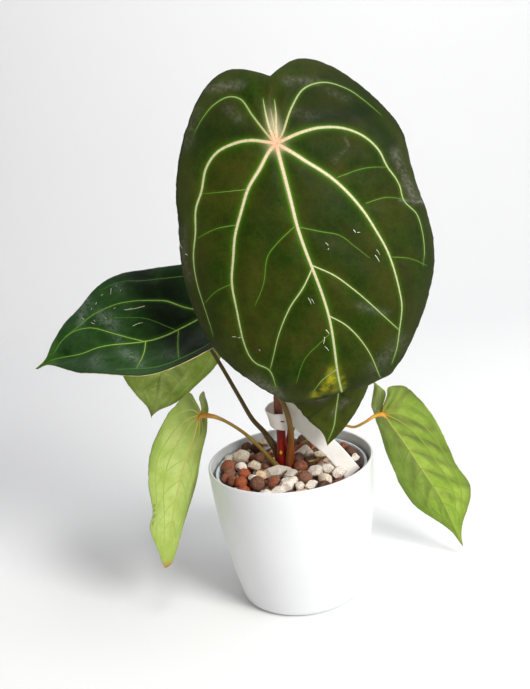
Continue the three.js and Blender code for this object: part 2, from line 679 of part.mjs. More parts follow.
// The plant label: its slotted head loops round petiole 1 and its tail ends among the stones
function plantLabel() {
  return band([
    { at: [1.5, -6, 172], across: [0.1, -0.1, 1] },
    { at: [-5, -7, 173.5], across: [0.1, -0.1, 1] },
    { at: [-14, -6, 175.5], across: [-0.1, -0.2, 1] },
    { at: [-20, 1, 178.5], across: [-0.2, 0, 1] },
    { at: [-15, 9, 182], across: [0, 0.1, 1] },
    { at: [-6, 11, 184], across: [0.2, 0.1, 1] },
    { at: [4, 6, 181.5], across: [0.5, 0.15, 0.9] },
    { at: [11, 0, 176], across: [0.7, 0.15, 0.7] },
    { at: [25.5, -7, 161.5], across: [0.78, 0.15, 0.6] },
    { at: [41.4, -14, 146], across: [0.84, 0.15, 0.5] },
    { at: [...LABEL_TAIL, 127], across: [0.88, 0.25, 0.35] },
  ], LABEL_WIDTH, LABEL_THICKNESS, 34);
}

const group = new THREE.Group();

function add(name, geometry, color, roughness) {
  const mesh = new THREE.Mesh(geometry, new THREE.MeshStandardMaterial({ color, roughness, metalness: 0 }));
  mesh.name = name;
  group.add(mesh);
}

add('cover_pot', coverPot(), '#eef0f2', 0.4);
add('nursery_liner', nurseryLiner(), '#d7dde3', 0.45);
add('substrate', substrate(), '#96604a', 0.9);
add('crown', crown(), '#7a1f22', 0.6);
add('plant_label', plantLabel(), '#f0efee', 0.5);

const bladeColors = {
  leaf_1: '#263a16',
  leaf_2: '#1f3a20',
  leaf_3: '#8fa35a',
  leaf_4: '#a9c464',
  leaf_5: '#82a845',
  leaf_6: '#5f8a35',
};
for (const [name, leaf] of Object.entries(leaves)) add(name, blade(leaf), bladeColors[name], 0.55);

const stalkColors = {
  petiole_1: '#4d2a1f',
  petiole_2: '#5a5028',
  petiole_3: '#5c4a2e',
  petiole_4: '#8a7434',
  petiole_5: '#a58a3e',
  petiole_6: '#8c2f3c',
};
for (const [name, path] of Object.entries(stalkPaths)) {
  add(name, stalk(stalkStations(path), STALK_SIDES, path.steps), stalkColors[name], 0.6);
}

export default group;
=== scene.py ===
"""Potted anthurium: velvety heart-shaped leaves with pale veins on long fleshy stalks, growing in clay balls
and pumice inside a nursery liner and a white cover pot. Sizes are in mm until a mesh is made; the front of
the plant faces -Y and the pot stands on z = 0."""
import math

import bmesh
import bpy
import numpy as np
from mathutils import Matrix, Vector, noise
from mathutils.bvhtree import BVHTree
from mathutils.geometry import barycentric_transform


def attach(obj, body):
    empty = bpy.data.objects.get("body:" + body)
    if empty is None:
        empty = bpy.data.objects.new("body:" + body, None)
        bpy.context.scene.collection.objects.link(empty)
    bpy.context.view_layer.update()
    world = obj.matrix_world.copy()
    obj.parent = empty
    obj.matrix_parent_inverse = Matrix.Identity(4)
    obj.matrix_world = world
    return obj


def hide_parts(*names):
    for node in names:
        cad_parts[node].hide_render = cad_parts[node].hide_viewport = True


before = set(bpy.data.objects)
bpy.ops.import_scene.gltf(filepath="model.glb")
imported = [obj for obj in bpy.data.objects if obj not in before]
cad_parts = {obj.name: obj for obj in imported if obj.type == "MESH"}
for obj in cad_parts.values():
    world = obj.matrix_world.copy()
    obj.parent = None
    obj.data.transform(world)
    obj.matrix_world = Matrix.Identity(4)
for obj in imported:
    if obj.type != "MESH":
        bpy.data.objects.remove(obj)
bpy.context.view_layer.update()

MM = 0.001

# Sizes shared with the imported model
POT_HEIGHT = 139
POT_RIM_RADIUS = 80
POT_FOOT_RADIUS = 60
POT_BELLY = 3.9           # how far its side bows out of a straight cone at half height
POT_WALL = 2.6
POT_FLOOR = 3
POT_CORNER = 6            # rounding inside, at the bottom
LIP_ROUNDING = 1.2
FOOT_ROUNDING = 8
GROOVE_RADIUS = 46        # shallow moulded ring under the pot
GROOVE_WIDTH = 5
GROOVE_DEPTH = 0.8
LINER_WALL = 1.2
LINER_TOP = 131
LINER_RIM_RADIUS = 72.5
LINER_FOOT_RADIUS = 51
LINER_FLANGE = 1.2        # how far the liner's rolled rim stands out
DRAIN_HOLE_RADIUS = 5
DRAIN_HOLE_COUNT = 6
DRAIN_RING_RADIUS = 34
SOIL_TOP = 121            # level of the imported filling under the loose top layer
STONE_PITCH = 14
STONE_JITTER = 1.7        # how far a stone may stray from its place in the grid
STONE_LEAST = 6.1         # radius of the smallest stone
STONE_SPREAD = 1.3        # and how much larger the largest is
STONE_RISE = 2.6          # how much higher the highest stone lies than the lowest
STONE_FIELD = 69          # how far the top layer reaches from the centre
PUMICE_SHARE = (0.4, 0.62)    # share of pumice on the left and on the right
CROWN_AT = (-5.5, 7)
CROWN_RADIUS = 8
CROWN_FOOT = 102
LABEL_THICKNESS = 0.6
LOBE_TUCK = 2.2           # how deep the left lobe is tucked under the right one at the notch
GAP = 0.35                # left free between pieces that touch

# Sizes of the finer pieces
BLADE_HALF = 0.3          # half the thickness of a leaf blade
UNDER_SHIFT = 40.0        # keeps the patterns of a blade's two faces apart
NEAR = 0.4                # how far off the points lie that give the blade's slope
VEIN_STEP = 2.0           # spacing of the sections along a vein
RIB_SHARE = 0.85          # how much of a vein's drawn width stands up as a rib
NOTCH_ROOT = -3           # v of the bottom of a blade's notch
MARGIN_STEPS = 600
RAGGED_GRAIN = 7          # length of the bumps along a rough margin
RUNS_ON = 5               # how far a stalk runs on under the midrib
STALK_SIDES = 20
ROOTED = 6                # how far a stalk runs on inside its sheath
LINER_RIBS = 36           # shallow ribs round the liner, in a band under its rim
LINER_RIB_DEPTH = 0.35
LINER_RIB_HEIGHT = 118
LINER_RIB_BAND = 9
LABEL_WIDTH = 17
LABEL_FOOT = (58, -29)    # where the label's tail stands on the filling

# Camera, in the same frame
CAMERA_AT = (-11.7, -859.2, 503.6)
CAMERA_PITCH = 16.15      # degrees below level
CAMERA_ROLL = 6.61
CAMERA_LENS = 50


# Lines and curves

def ease(keys, x):
    """Value at x of a curve that eases from key to key; keys are (x, value) in rising x."""
    places, values = np.array(keys, float).T
    x = np.clip(np.asarray(x, float), places[0], places[-1])
    i = np.clip(np.searchsorted(places, x, side="right") - 1, 0, len(places) - 2)
    t = (x - places[i]) / (places[i + 1] - places[i])
    return values[i] + (values[i + 1] - values[i]) * t * t * (3 - 2 * t)


def evenly(line, count, measured=3):
    """count + 1 points spread evenly by length over a line. Only the first `measured` numbers of a point
    are a place; the others, such as a radius, are carried along."""
    steps = np.linalg.norm(np.diff(line[:, :measured], axis=0), axis=1)
    length = np.concatenate([[0], np.cumsum(steps)])
    even = np.linspace(0, length[-1], count + 1)
    return np.column_stack([np.interp(even, length, column) for column in line.T])


def smooth_line(stations, count, measured=3):
    """count + 1 points spread evenly by length over a smooth curve through the stations."""
    knots = np.asarray(stations, float)
    knots = np.concatenate([[2 * knots[0] - knots[1]], knots, [2 * knots[-1] - knots[-2]]])
    t = np.linspace(0, 1, 33)[:-1, None]
    spans = []
    for a, b, c, d in zip(knots, knots[1:], knots[2:], knots[3:]):
        ab, bc, cd = (math.sqrt(np.linalg.norm((q - p)[:measured])) for p, q in ((a, b), (b, c), (c, d)))
        leave = ((b - a) / ab - (c - a) / (ab + bc) + (c - b) / bc) * bc
        arrive = ((c - b) / bc - (d - b) / (bc + cd) + (d - c) / cd) * bc
        square = 3 * (c - b) - 2 * leave - arrive
        cube = 2 * (b - c) + leave + arrive
        spans.append(b + leave * t + square * t ** 2 + cube * t ** 3)
    return evenly(np.concatenate(spans + [knots[-2:-1]]), count, measured)


def line_length(points):
    return float(np.linalg.norm(np.diff(np.asarray(points, float), axis=0), axis=1).sum())


def unit(vectors):
    vectors = np.asarray(vectors, float)
    return vectors / np.maximum(np.linalg.norm(vectors, axis=-1, keepdims=True), 1e-9)


def carried_frames(line):
    """Directions along and across a line, turned no more than the line itself turns."""
    along = unit(np.gradient(line, axis=0))
    across = [unit(np.cross(along[0], (0.3, 0.9, 0.1)))]
    for direction in along[1:]:
        last = across[-1]
        across.append(unit(last - direction * (last @ direction)))
    across = np.array(across)
    return along, across, np.cross(along, across)


# Meshes

def make_piece(name, points, faces, materials, looks=None, marks=None):
    """A smooth-shaded mesh object from points in mm. looks gives each face's material number, and marks are
    named values that the materials read, one for each point."""
    mesh = bpy.data.meshes.new(name)
    mesh.from_pydata((np.asarray(points, float) * MM).tolist(), [], [list(map(int, f)) for f in faces])
    for material in materials:
        mesh.materials.append(material)
    if looks is not None:
        mesh.polygons.foreach_set("material_index", np.asarray(looks, np.int32))
    for mark, values in (marks or {}).items():
        values = np.asarray(values, np.float32)
        plain = values.ndim == 1
        layer = mesh.attributes.new(mark, "FLOAT" if plain else "FLOAT_VECTOR", "POINT")
        layer.data.foreach_set("value" if plain else "vector", values.ravel())
    mesh.polygons.foreach_set("use_smooth", np.ones(len(mesh.polygons), bool))
    mesh.update()
    piece = bpy.data.objects.new(name, mesh)
    bpy.context.scene.collection.objects.link(piece)
    return piece


def stand_in(piece, node_name):
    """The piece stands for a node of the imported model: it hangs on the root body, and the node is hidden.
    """
    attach(piece, "root")
    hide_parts(node_name)


def weld(piece, distance=0.01):
    """Joins points that lie together and drops the faces that this leaves empty."""
    shape = bmesh.new()
    shape.from_mesh(piece.data)
    bmesh.ops.remove_doubles(shape, verts=shape.verts, dist=distance * MM)
    bmesh.ops.dissolve_degenerate(shape, edges=shape.edges, dist=0.001 * MM)
    bmesh.ops.recalc_face_normals(shape, faces=shape.faces)
    shape.to_mesh(piece.data)
    shape.free()


def settle(piece):
    """Applies the piece's modifiers."""
    made = bpy.data.meshes.new_from_object(piece.evaluated_get(bpy.context.evaluated_depsgraph_get()))
    piece.modifiers.clear()
    piece.data = made


def join_shapes(shapes):
    """Points, faces and marks of several (points, faces, marks) shapes as one."""
    points, faces, marks, start = [], [], {}, 0
    for shape_points, shape_faces, shape_marks in shapes:
        points.append(shape_points)
        faces += [tuple(i + start for i in face) for face in shape_faces]
        for mark, values in shape_marks.items():
            marks.setdefault(mark, []).append(np.asarray(values, float))
        start += len(shape_points)
    return np.concatenate(points), faces, {mark: np.concatenate(parts) for mark, parts in marks.items()}


def tinted(shape, color):
    """A (points, faces, marks) shape with one linear colour as its tint."""
    points, faces, marks = shape
    return points, faces, {**marks, "tint": np.tile(color[:3], (len(points), 1))}


def skin_faces(rings, sides):
    """Faces of a closed skin over `rings` rings of `sides` points, with flat ends."""
    faces = []
    for i in range(rings - 1):
        for k in range(sides):
            a, b = i * sides + k, i * sides + (k + 1) % sides
            faces.append((a, b, b + sides, a + sides))
    faces.append(tuple(range(sides))[::-1])
    faces.append(tuple(range((rings - 1) * sides, rings * sides)))
    return faces


def turned(outline, sides, reshape=None):
    """A body turned round the Z axis from an outline of (radius, height) that starts and ends on the axis.
    reshape(radius, height, angles) may alter the radii of a ring."""
    points, rings = [], []
    angles = np.arange(sides) * 2 * math.pi / sides
    for radius, height in outline:
        if radius <= 0:
            rings.append([len(points)] * sides)
            points.append((0, 0, height))
            continue
        rings.append(list(range(len(points), len(points) + sides)))
        radii = np.full(sides, radius) if reshape is None else reshape(radius, height, angles)
        points += list(zip(radii * np.cos(angles), radii * np.sin(angles), np.full(sides, height)))
    faces = []
    for low, high in zip(rings, rings[1:]):
        for k in range(sides):
            n = (k + 1) % sides
            face = list(dict.fromkeys((low[k], low[n], high[n], high[k])))
            if len(face) > 2:
                faces.append(face)
    return np.array(points, float), faces


# Materials

def linear(code):
    """An sRGB hex colour as linear red, green, blue and alpha."""
    parts = [int(code[i:i + 2], 16) / 255 for i in (1, 3, 5)]
    return tuple(c / 12.92 if c <= 0.04045 else ((c + 0.055) / 1.055) ** 2.4 for c in parts) + (1.0,)


def node(material, kind, inputs=None, out=0, stops=(), **settings):
    """Adds a shader node with its settings and gives one of its outputs. inputs gives each socket a value or
    another node's output, and stops are the (place, hex colour) stops of a colour ramp."""
    made = material.node_tree.nodes.new("ShaderNode" + kind)
    for name, value in settings.items():
        setattr(made, name, value)
    for name, value in (inputs or {}).items():
        if isinstance(value, bpy.types.NodeSocket):
            material.node_tree.links.new(value, made.inputs[name])
        else:
            made.inputs[name].default_value = value
    for i, (place, code) in enumerate(stops):
        ramp = made.color_ramp.elements
        stop = ramp[i] if i < len(ramp) else ramp.new(place)
        stop.position, stop.color = place, linear(code)
    return made.outputs[out]


def new_material(name):
    material = bpy.data.materials.new(name)
    material.use_nodes = True
    return material


def finish_surface(material, inputs, relief=()):
    """Sets the surface shader's sockets. relief is (height, depth in mm) from the coarsest to the finest."""
    bump = {}
    for height, depth in relief:
        bump = {"Normal": node(material, "Bump", {
            "Height": height, "Distance": depth * MM, "Strength": 1.0, **bump}, out="Normal")}
    shader = material.node_tree.nodes["Principled BSDF"]
    for name, value in {**inputs, **bump}.items():
        if isinstance(value, bpy.types.NodeSocket):
            material.node_tree.links.new(value, shader.inputs[name])
        else:
            shader.inputs[name].default_value = value
    return material


def coated(material, color, coats, blend="MIX"):
    """Coats of colour over a first one. coats are (share, colour), the lowest first, and a colour is a hex
    code or a node's output."""
    for share, coat in coats:
        low, high = (linear(c) if isinstance(c, str) else c for c in (color, coat))
        color = node(material, "Mix", {0: share, 6: low, 7: high}, out=2, data_type="RGBA", blend_type=blend)
    return color


def mottle(material, place, size, low, high, faint=0.0, strong=1.0, detail=3.0, rough=0.5):
    """Ragged patches about `size` mm across: cloudy noise whose values from low to high give faint to
    strong."""
    cloud = node(material, "TexNoise", {
        "Vector": place, "Scale": 1 / size, "Detail": detail, "Roughness": rough})
    return node(material, "MapRange", {
        "Value": cloud, "From Min": low, "From Max": high, "To Min": faint, "To Max": strong})


def broken(material, strength, place, size):
    """A mark's strength, broken into ragged patches about `size` mm across."""
    patch = mottle(material, place, size, 0.4, 0.62, 0.15, 1.0, 5.0, 0.7)
    return node(material, "Math", {0: strength, 1: patch}, operation="MULTIPLY")


def body_place(material):
    """Place on the object in mm, for patterns that are cut from solid stuff."""
    place = node(material, "TexCoord", out="Object")
    return node(material, "VectorMath", {"Vector": place, "Scale": 1 / MM}, operation="SCALE")


def flat_place(material):
    """Place on the flat drawing of the blade in mm, and the same place pushed about so that nets and
    streaks drawn with it don't look ruled."""
    flat = node(material, "Attribute", out="Vector", attribute_name="flat")
    push = node(material, "TexNoise", {"Vector": flat, "Scale": 1 / 7, "Detail": 2.0}, out="Color")
    push = node(material, "VectorMath", {0: push, "Scale": 3.0}, operation="SCALE")
    return flat, node(material, "VectorMath", {0: flat, 1: push}, operation="ADD")


def blade_marks(material):
    """What the mesh says at each point of a blade: name to strength."""
    return {name: node(material, "Attribute", out="Fac", attribute_name=name)
            for name in ("glow", "edge", "tip", "blot", "silver", "shade", "star")}


def velvet_blade(name, look):
    """Upper face of a blade: living tissue whose cells stand up like the pile of velvet, so it is deep and
    dull face on, and grey where the margin curves away, partly from sheen and partly from painted sheen in
    its colour. Every vein is lined with brighter green."""
    m = new_material(name)
    flat, pushed = flat_place(m)
    on = blade_marks(m)
    seam = node(m, "TexVoronoi", {"Vector": pushed, "Scale": 1 / 7}, out="Distance",
                feature="DISTANCE_TO_EDGE")
    net = node(m, "MapRange", {"Value": seam, "From Max": 0.08, "To Min": look["net"], "To Max": 0.0})
    fringe = node(m, "ValToRGB", {"Fac": on["glow"]}, stops=[
        (0.0, look["glow"]), (0.5, look["glow"]), (0.75, look["faint"]), (1.0, look["fringe"])])
    lining = node(m, "MapRange", {"Value": on["glow"], "From Min": 0.08, "From Max": 0.9, "To Max": 0.9})
    # the edge colour is painted sheen: grey towards the margin, where the blade curves away
    margin = node(m, "MapRange", {"Value": on["edge"], "From Min": 0.15, "To Max": 0.85})
    color = coated(m, look["deep"], [
        (mottle(m, flat, 42, 0.38, 0.62, rough=0.55), look["warm"]),
        (mottle(m, pushed, 9, 0.42, 0.75, 0.0, 0.5, 4.0, 0.6), look["fresh"]),
        (net, look["glow"]),
        (margin, look["edge"]),
        (broken(m, on["tip"], pushed, 14), look["tip"]),
        (broken(m, on["blot"], pushed, 9), look["blot"]),
        # painted sheen on wrinkles, broken into patches; on leaf 2 it is dust as well
        (broken(m, on["silver"], pushed, 3.2), look["silver"]),
        # painted shade: creases, folds, the shadow one leaf casts on another, and darker lobes
        (on["shade"], look["shade"]),
        (lining, fringe),
        (on["star"], look["rib"]),
        (mottle(m, pushed, 5, 0.66, 0.78, 0.0, look["dust"], 6.0, 0.8), "#8c9284")])
    return finish_surface(m, {
        "Base Color": color, "IOR": 1.42, "Specular IOR Level": look["shine"],
        "Roughness": mottle(m, flat, 15, 0.3, 0.7, look["rough"] - 0.06, look["rough"] + 0.1, 4.0),
        "Sheen Weight": node(m, "MapRange", {"Value": on["edge"], "To Min": 0.02, "To Max": look["sheen"]}),
        "Sheen Roughness": 0.4, "Sheen Tint": linear("#c4cbb8"),
    }, relief=[(node(m, "TexNoise", {"Vector": flat, "Scale": 1 / 22, "Detail": 3.0}), 1.6),
               (node(m, "TexNoise", {"Vector": pushed, "Scale": 1 / 9, "Detail": 2.0}), 0.5),
               (seam, 0.15),
               (node(m, "TexNoise", {"Vector": flat, "Scale": 1 / 1.4, "Detail": 2.0}), 0.05)])


def leaf_underside(name, look):
    """Lower face of a blade: paler and waxier than the upper one, with a fine raised net, and thin enough
    for some light to come through."""
    m = new_material(name)
    flat, pushed = flat_place(m)
    on = blade_marks(m)
    seam = node(m, "TexVoronoi", {"Vector": pushed, "Scale": 1 / 4}, out="Distance",
                feature="DISTANCE_TO_EDGE")
    net = node(m, "MapRange", {"Value": seam, "From Max": 0.1, "To Min": 0.12, "To Max": 0.0})
    lining = node(m, "MapRange", {"Value": on["glow"], "From Min": 0.3, "From Max": 0.9, "To Max": 0.4})
    margin = node(m, "MapRange", {"Value": on["edge"], "From Min": 0.35, "To Max": 0.6})
    color = coated(m, look["under"], [
        (mottle(m, flat, 24, 0.36, 0.64), look["under_pale"]),
        (mottle(m, pushed, 5, 0.45, 0.75, 0.0, 0.35, 5.0, 0.65), look["under_dark"]),
        (net, look["under_pale"]),
        (lining, look["under_rib"]),
        (margin, look["under_dark"]),
        (node(m, "MapRange", {"Value": on["tip"], "To Max": 0.8}), look["under_tip"]),
        # a yellow patch that shows through, and on leaf 5 painted light
        (on["blot"], look["blot"]),
        # painted shade along the folds between the ribs
        (on["shade"], look["shade"])])
    return finish_surface(m, {
        "Base Color": color, "Roughness": mottle(m, flat, 12, 0.3, 0.7, 0.4, 0.55, 4.0), "IOR": 1.42,
        "Specular IOR Level": 0.3, "Subsurface Weight": look["through"],
        "Subsurface Radius": (0.6, 0.9, 0.2), "Subsurface Scale": 2 * MM,
    }, relief=[(node(m, "TexNoise", {"Vector": flat, "Scale": 1 / 11, "Detail": 3.0}), 0.8), (seam, 0.3)])


def vein_tissue(name, pale, faint, heart, least):
    """A vein: firm pale tissue with few green cells, so it stays cream where it is thick and greener where
    it thins out, and turns pink where the stalk meets the blade. least is the paleness that shows no
    cream."""
    m = new_material(name)
    strength, side, pink = (
        node(m, "Attribute", out="Fac", attribute_name=mark) for mark in ("pale", "side", "heart"))
    flat = node(m, "Attribute", out="Vector", attribute_name="flat")
    color = coated(m, faint, [
        (node(m, "MapRange", {"Value": strength, "From Min": least}), pale),
        (node(m, "MapRange", {"Value": side, "From Min": 0.3, "To Max": 0.75}), faint),
        (pink, heart),
        (mottle(m, flat, 1.5, 0.4, 0.7, 0.0, 0.3, 2.0), faint)])
    return finish_surface(m, {"Base Color": color, "Roughness": 0.5, "IOR": 1.42, "Specular IOR Level": 0.3})


def scuff_material(name, code):
    """Scratched leaf skin: the torn outer cells have dried to a thin silvery film that flakes in places."""
    m = new_material(name)
    color = coated(m, code, [(mottle(m, body_place(m), 1.2, 0.45, 0.65, 0.0, 0.35), "#8f9a78")])
    return finish_surface(m, {"Base Color": color, "Roughness": 0.5, "IOR": 1.42})


def leaf_rim(name, code):
    """The margin of a blade: a thin dry edge with hardly any green in it."""
    m = new_material(name)
    color = coated(m, code, [(mottle(m, body_place(m), 7, 0.35, 0.65, 0.0, 0.5), "#6d5a3a")])
    return finish_surface(m, {"Base Color": color, "Roughness": 0.55, "IOR": 1.42})


# Fleshy tissue lets some red light through
FLESH = {"IOR": 1.42, "Subsurface Weight": 0.12, "Subsurface Radius": (1.0, 0.5, 0.25),
         "Subsurface Scale": 1.5 * MM}


def stalk_skin(name, stops, rough=0.42):
    """A fleshy stalk: smooth waxy skin with fine lengthwise streaks. stops are (share of the length from
    the crown, hex colour)."""
    m = new_material(name)
    wrap = node(m, "Attribute", out="Vector", attribute_name="wrap")
    along = node(m, "Attribute", out="Fac", attribute_name="along")
    color = node(m, "ValToRGB", {"Fac": along}, stops=stops)
    color = coated(m, color, [(mottle(m, wrap, 1.3, 0.4, 0.7, 0.0, 0.4), "#8a6a44")], "MULTIPLY")
    color = coated(m, color, [(mottle(m, wrap, 0.8, 0.6, 0.72, 0.0, 0.12, rough=0.7), "#c8b98c")])
    grain = node(m, "TexNoise", {"Vector": wrap, "Scale": 1 / 1.3, "Detail": 3.0})
    return finish_surface(m, {"Base Color": color, "Roughness": rough, **FLESH}, relief=[(grain, 0.12)])


def crown_skin():
    """Young growth at the crown: soft shiny tissue, crimson at the foot of each sheath and taking on the
    colour of its stalk higher up."""
    m = new_material("crown_tissue_skin")
    wrap = node(m, "Attribute", out="Vector", attribute_name="wrap")
    along = node(m, "Attribute", out="Fac", attribute_name="along")
    tint = node(m, "Attribute", attribute_name="tint")
    foot = node(m, "MapRange", {
        "Value": along, "From Min": 0.25, "From Max": 0.6, "To Min": 0.7, "To Max": 0.0})
    color = coated(m, tint, [(foot, "#7c1216")])
    color = coated(m, color, [(mottle(m, wrap, 1.3, 0.4, 0.7, 0.0, 0.4), "#5a3020")], "MULTIPLY")
    grain = node(m, "TexNoise", {"Vector": wrap, "Scale": 1 / 1.3, "Detail": 3.0})
    return finish_surface(m, {"Base Color": color, "Roughness": 0.38, **FLESH}, relief=[(grain, 0.12)])


def clay_material():
    """Expanded clay: balls blown up in a kiln, with a matt, finely pored fired skin in brick reds that
    differ from ball to ball."""
    m = new_material("expanded_clay")
    place = body_place(m)
    tint = node(m, "Attribute", attribute_name="tint")
    middles = node(m, "TexVoronoi", {"Vector": place, "Scale": 1 / 1.2}, feature="F1", out="Distance")
    skin = node(m, "MapRange", {"Value": middles, "From Min": 0.12, "From Max": 0.4})
    color = coated(m, tint, [
        (mottle(m, place, 3.2, 0.4, 0.7, 0.0, 0.3, 4.0, 0.6), "#a88a7c"),
        (mottle(m, place, 2.4, 0.54, 0.66, 0.0, 0.6, 4.0, 0.7), "#4a2b20")])
    color = coated(m, "#38201a", [(skin, color)])
    lumps = node(m, "TexNoise", {"Vector": place, "Scale": 1 / 2.5, "Detail": 4.0, "Roughness": 0.65})
    return finish_surface(m, {
        "Base Color": color, "Roughness": 0.88, "IOR": 1.5, "Specular IOR Level": 0.25,
    }, relief=[(lumps, 0.5), (skin, 0.15)])


def pumice_material():
    """Pumice: broken volcanic foam, pale and dusty, full of small dark pits, with rusty spots."""
    m = new_material("pumice")
    place = body_place(m)
    tint = node(m, "Attribute", attribute_name="tint")
    middles = node(m, "TexVoronoi", {"Vector": place, "Scale": 1 / 1.4}, feature="F1", out="Distance")
    foam = node(m, "MapRange", {"Value": middles, "From Min": 0.1, "From Max": 0.36})
    color = coated(m, coated(m, tint, [(0.3, "#b0a190")]), [
        (mottle(m, place, 4.5, 0.35, 0.68, detail=5.0, rough=0.65), tint),
        (mottle(m, place, 5, 0.6, 0.72, 0.0, 0.5, 4.0), "#c07a4a")])
    color = coated(m, "#a8988a", [(foam, color)])
    lumps = node(m, "TexNoise", {"Vector": place, "Scale": 1 / 2.2, "Detail": 5.0, "Roughness": 0.7})
    return finish_surface(m, {
        "Base Color": color, "Roughness": 0.92, "IOR": 1.5, "Specular IOR Level": 0.2,
    }, relief=[(lumps, 0.6), (foam, 0.25)])


def filling_material():
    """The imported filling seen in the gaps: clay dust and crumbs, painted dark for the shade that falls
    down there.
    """
    m = new_material("clay_crumbs_in_painted_shade")
    place = body_place(m)
    color = coated(m, "#2e1d16", [(mottle(m, place, 3, 0.35, 0.65, detail=5.0, rough=0.7), "#6a4534")])
    crumbs = node(m, "TexNoise", {"Vector": place, "Scale": 1 / 2.5, "Detail": 5.0, "Roughness": 0.7})
    return finish_surface(m, {"Base Color": color, "Roughness": 0.95}, relief=[(crumbs, 1.2)])


def pot_material():
    """Polypropylene, injection moulded in a spark-eroded tool: white and satin, so lights show as broad soft
    bands. The tool's grain is finer than the render shows, and a slight waviness is all that is left."""
    m = new_material("moulded_polypropylene_white")
    place = body_place(m)
    color = coated(m, "#e2e4e6", [(mottle(m, place, 60, 0.3, 0.7, detail=2.0), "#dee0e3")])
    wave = node(m, "TexNoise", {"Vector": place, "Scale": 1 / 30, "Detail": 2.0})
    grain = node(m, "TexNoise", {"Vector": place, "Scale": 1 / 1.2, "Detail": 2.0})
    return finish_surface(m, {
        "Base Color": color, "Roughness": 0.34, "IOR": 1.49,
        "Subsurface Weight": 0.05, "Subsurface Radius": (1, 1, 1), "Subsurface Scale": 1 * MM,
    }, relief=[(wave, 0.12), (grain, 0.008)])


def liner_material():
    """Thin translucent polypropylene, thermoformed: milky and slightly blue, with a soft gloss."""
    m = new_material("thermoformed_polypropylene_milky")
    place = body_place(m)
    color = coated(m, "#dfe6ec", [(mottle(m, place, 12, 0.3, 0.7), "#cfd8df")])
    wave = node(m, "TexNoise", {"Vector": place, "Scale": 1 / 8, "Detail": 2.0})
    return finish_surface(m, {
        "Base Color": color, "Roughness": 0.3, "IOR": 1.49, "Subsurface Weight": 0.3,
        "Subsurface Radius": (1, 1, 1), "Subsurface Scale": 2 * MM,
    }, relief=[(wave, 0.15)])


def label_material():
    """Calendered polypropylene sheet: white, smooth and slightly cloudy, with faint scuffs."""
    m = new_material("calendered_polypropylene_sheet")
    place = body_place(m)
    color = coated(m, "#f8f3ee", [(mottle(m, place, 9, 0.35, 0.7, detail=4.0), "#f0e8e0")])
    scuffs = node(m, "TexNoise", {"Vector": place, "Scale": 1 / 3, "Detail": 3.0})
    return finish_surface(m, {
        "Base Color": color, "Roughness": 0.45, "IOR": 1.49, "Subsurface Weight": 0.5,
        "Subsurface Radius": (1, 0.9, 0.8), "Subsurface Scale": 2 * MM,
    }, relief=[(scuffs, 0.03)])


def dry_leaf_material():
    """Dried plant scraps: papery, straw-coloured with green and brown left in places."""
    m = new_material("dry_plant_scraps")
    tint = node(m, "Attribute", attribute_name="tint")
    color = coated(m, tint, [(mottle(m, body_place(m), 3, 0.35, 0.65), "#8a6a3c")])
    return finish_surface(m, {"Base Color": color, "Roughness": 0.7})


# Leaf blades. A blade is drawn flat, in mm from where its stalk meets it: u across to the leaf's side, v
# along the midrib to the tip, below 0 in the two basal lobes.
# at: that place. turn: heading, tilt and spin, degrees.
# arch: (v, angle) of the midrib's bend, away from the upper face. sway: (v, u) of the midrib.
# left, right: (u, angle) of the sides' droop. hold: (v, share) of that droop. twist: (v, angle).
# left_margin, right_margin: from the notch round the lobe to the tip. left_notch, right_notch: where the
# notch opens. shoulder: v where the lobe's rows end and the blade's begin.
# columns, lobe_rows, blade_rows: how the imported blade is divided. fine: how many times finer this one is.
# wave, waves, phase: height, number and start of the margin's waves. ragged: how rough the margin is.
# tuck: how far the left lobe passes under the right one. quilt: how far the blade bulges between veins.
# tip_mark: (v, strength) of the tip's colour: its own, and on leaf 1 partly painted light as well.
# folds: wrinkles (u0, v0, u1, v1, half width, height). scuffs: scratches (u, v, run in u, run in v, width).
# blots: a yellow patch, and on leaf 5 a painted patch of light. silver: painted
# sheen on wrinkles, with dust on leaf 2. shades: painted shade in creases, folds and cast shadows, and on
# leaf 4 a few dark scratches. Each is (u0, v0, u1, v1, half width, strength).

def leaf_shape(**given):
    plain = {"sway": [(0, 0), (1, 0)], "hold": [(0, 1), (1, 1)], "twist": [(0, 0), (1, 0)],
             "ragged": 0.35, "tuck": LOBE_TUCK,
             "folds": [], "blots": [], "silver": [], "shades": [], "scuffs": []}
    return {**plain, **given}


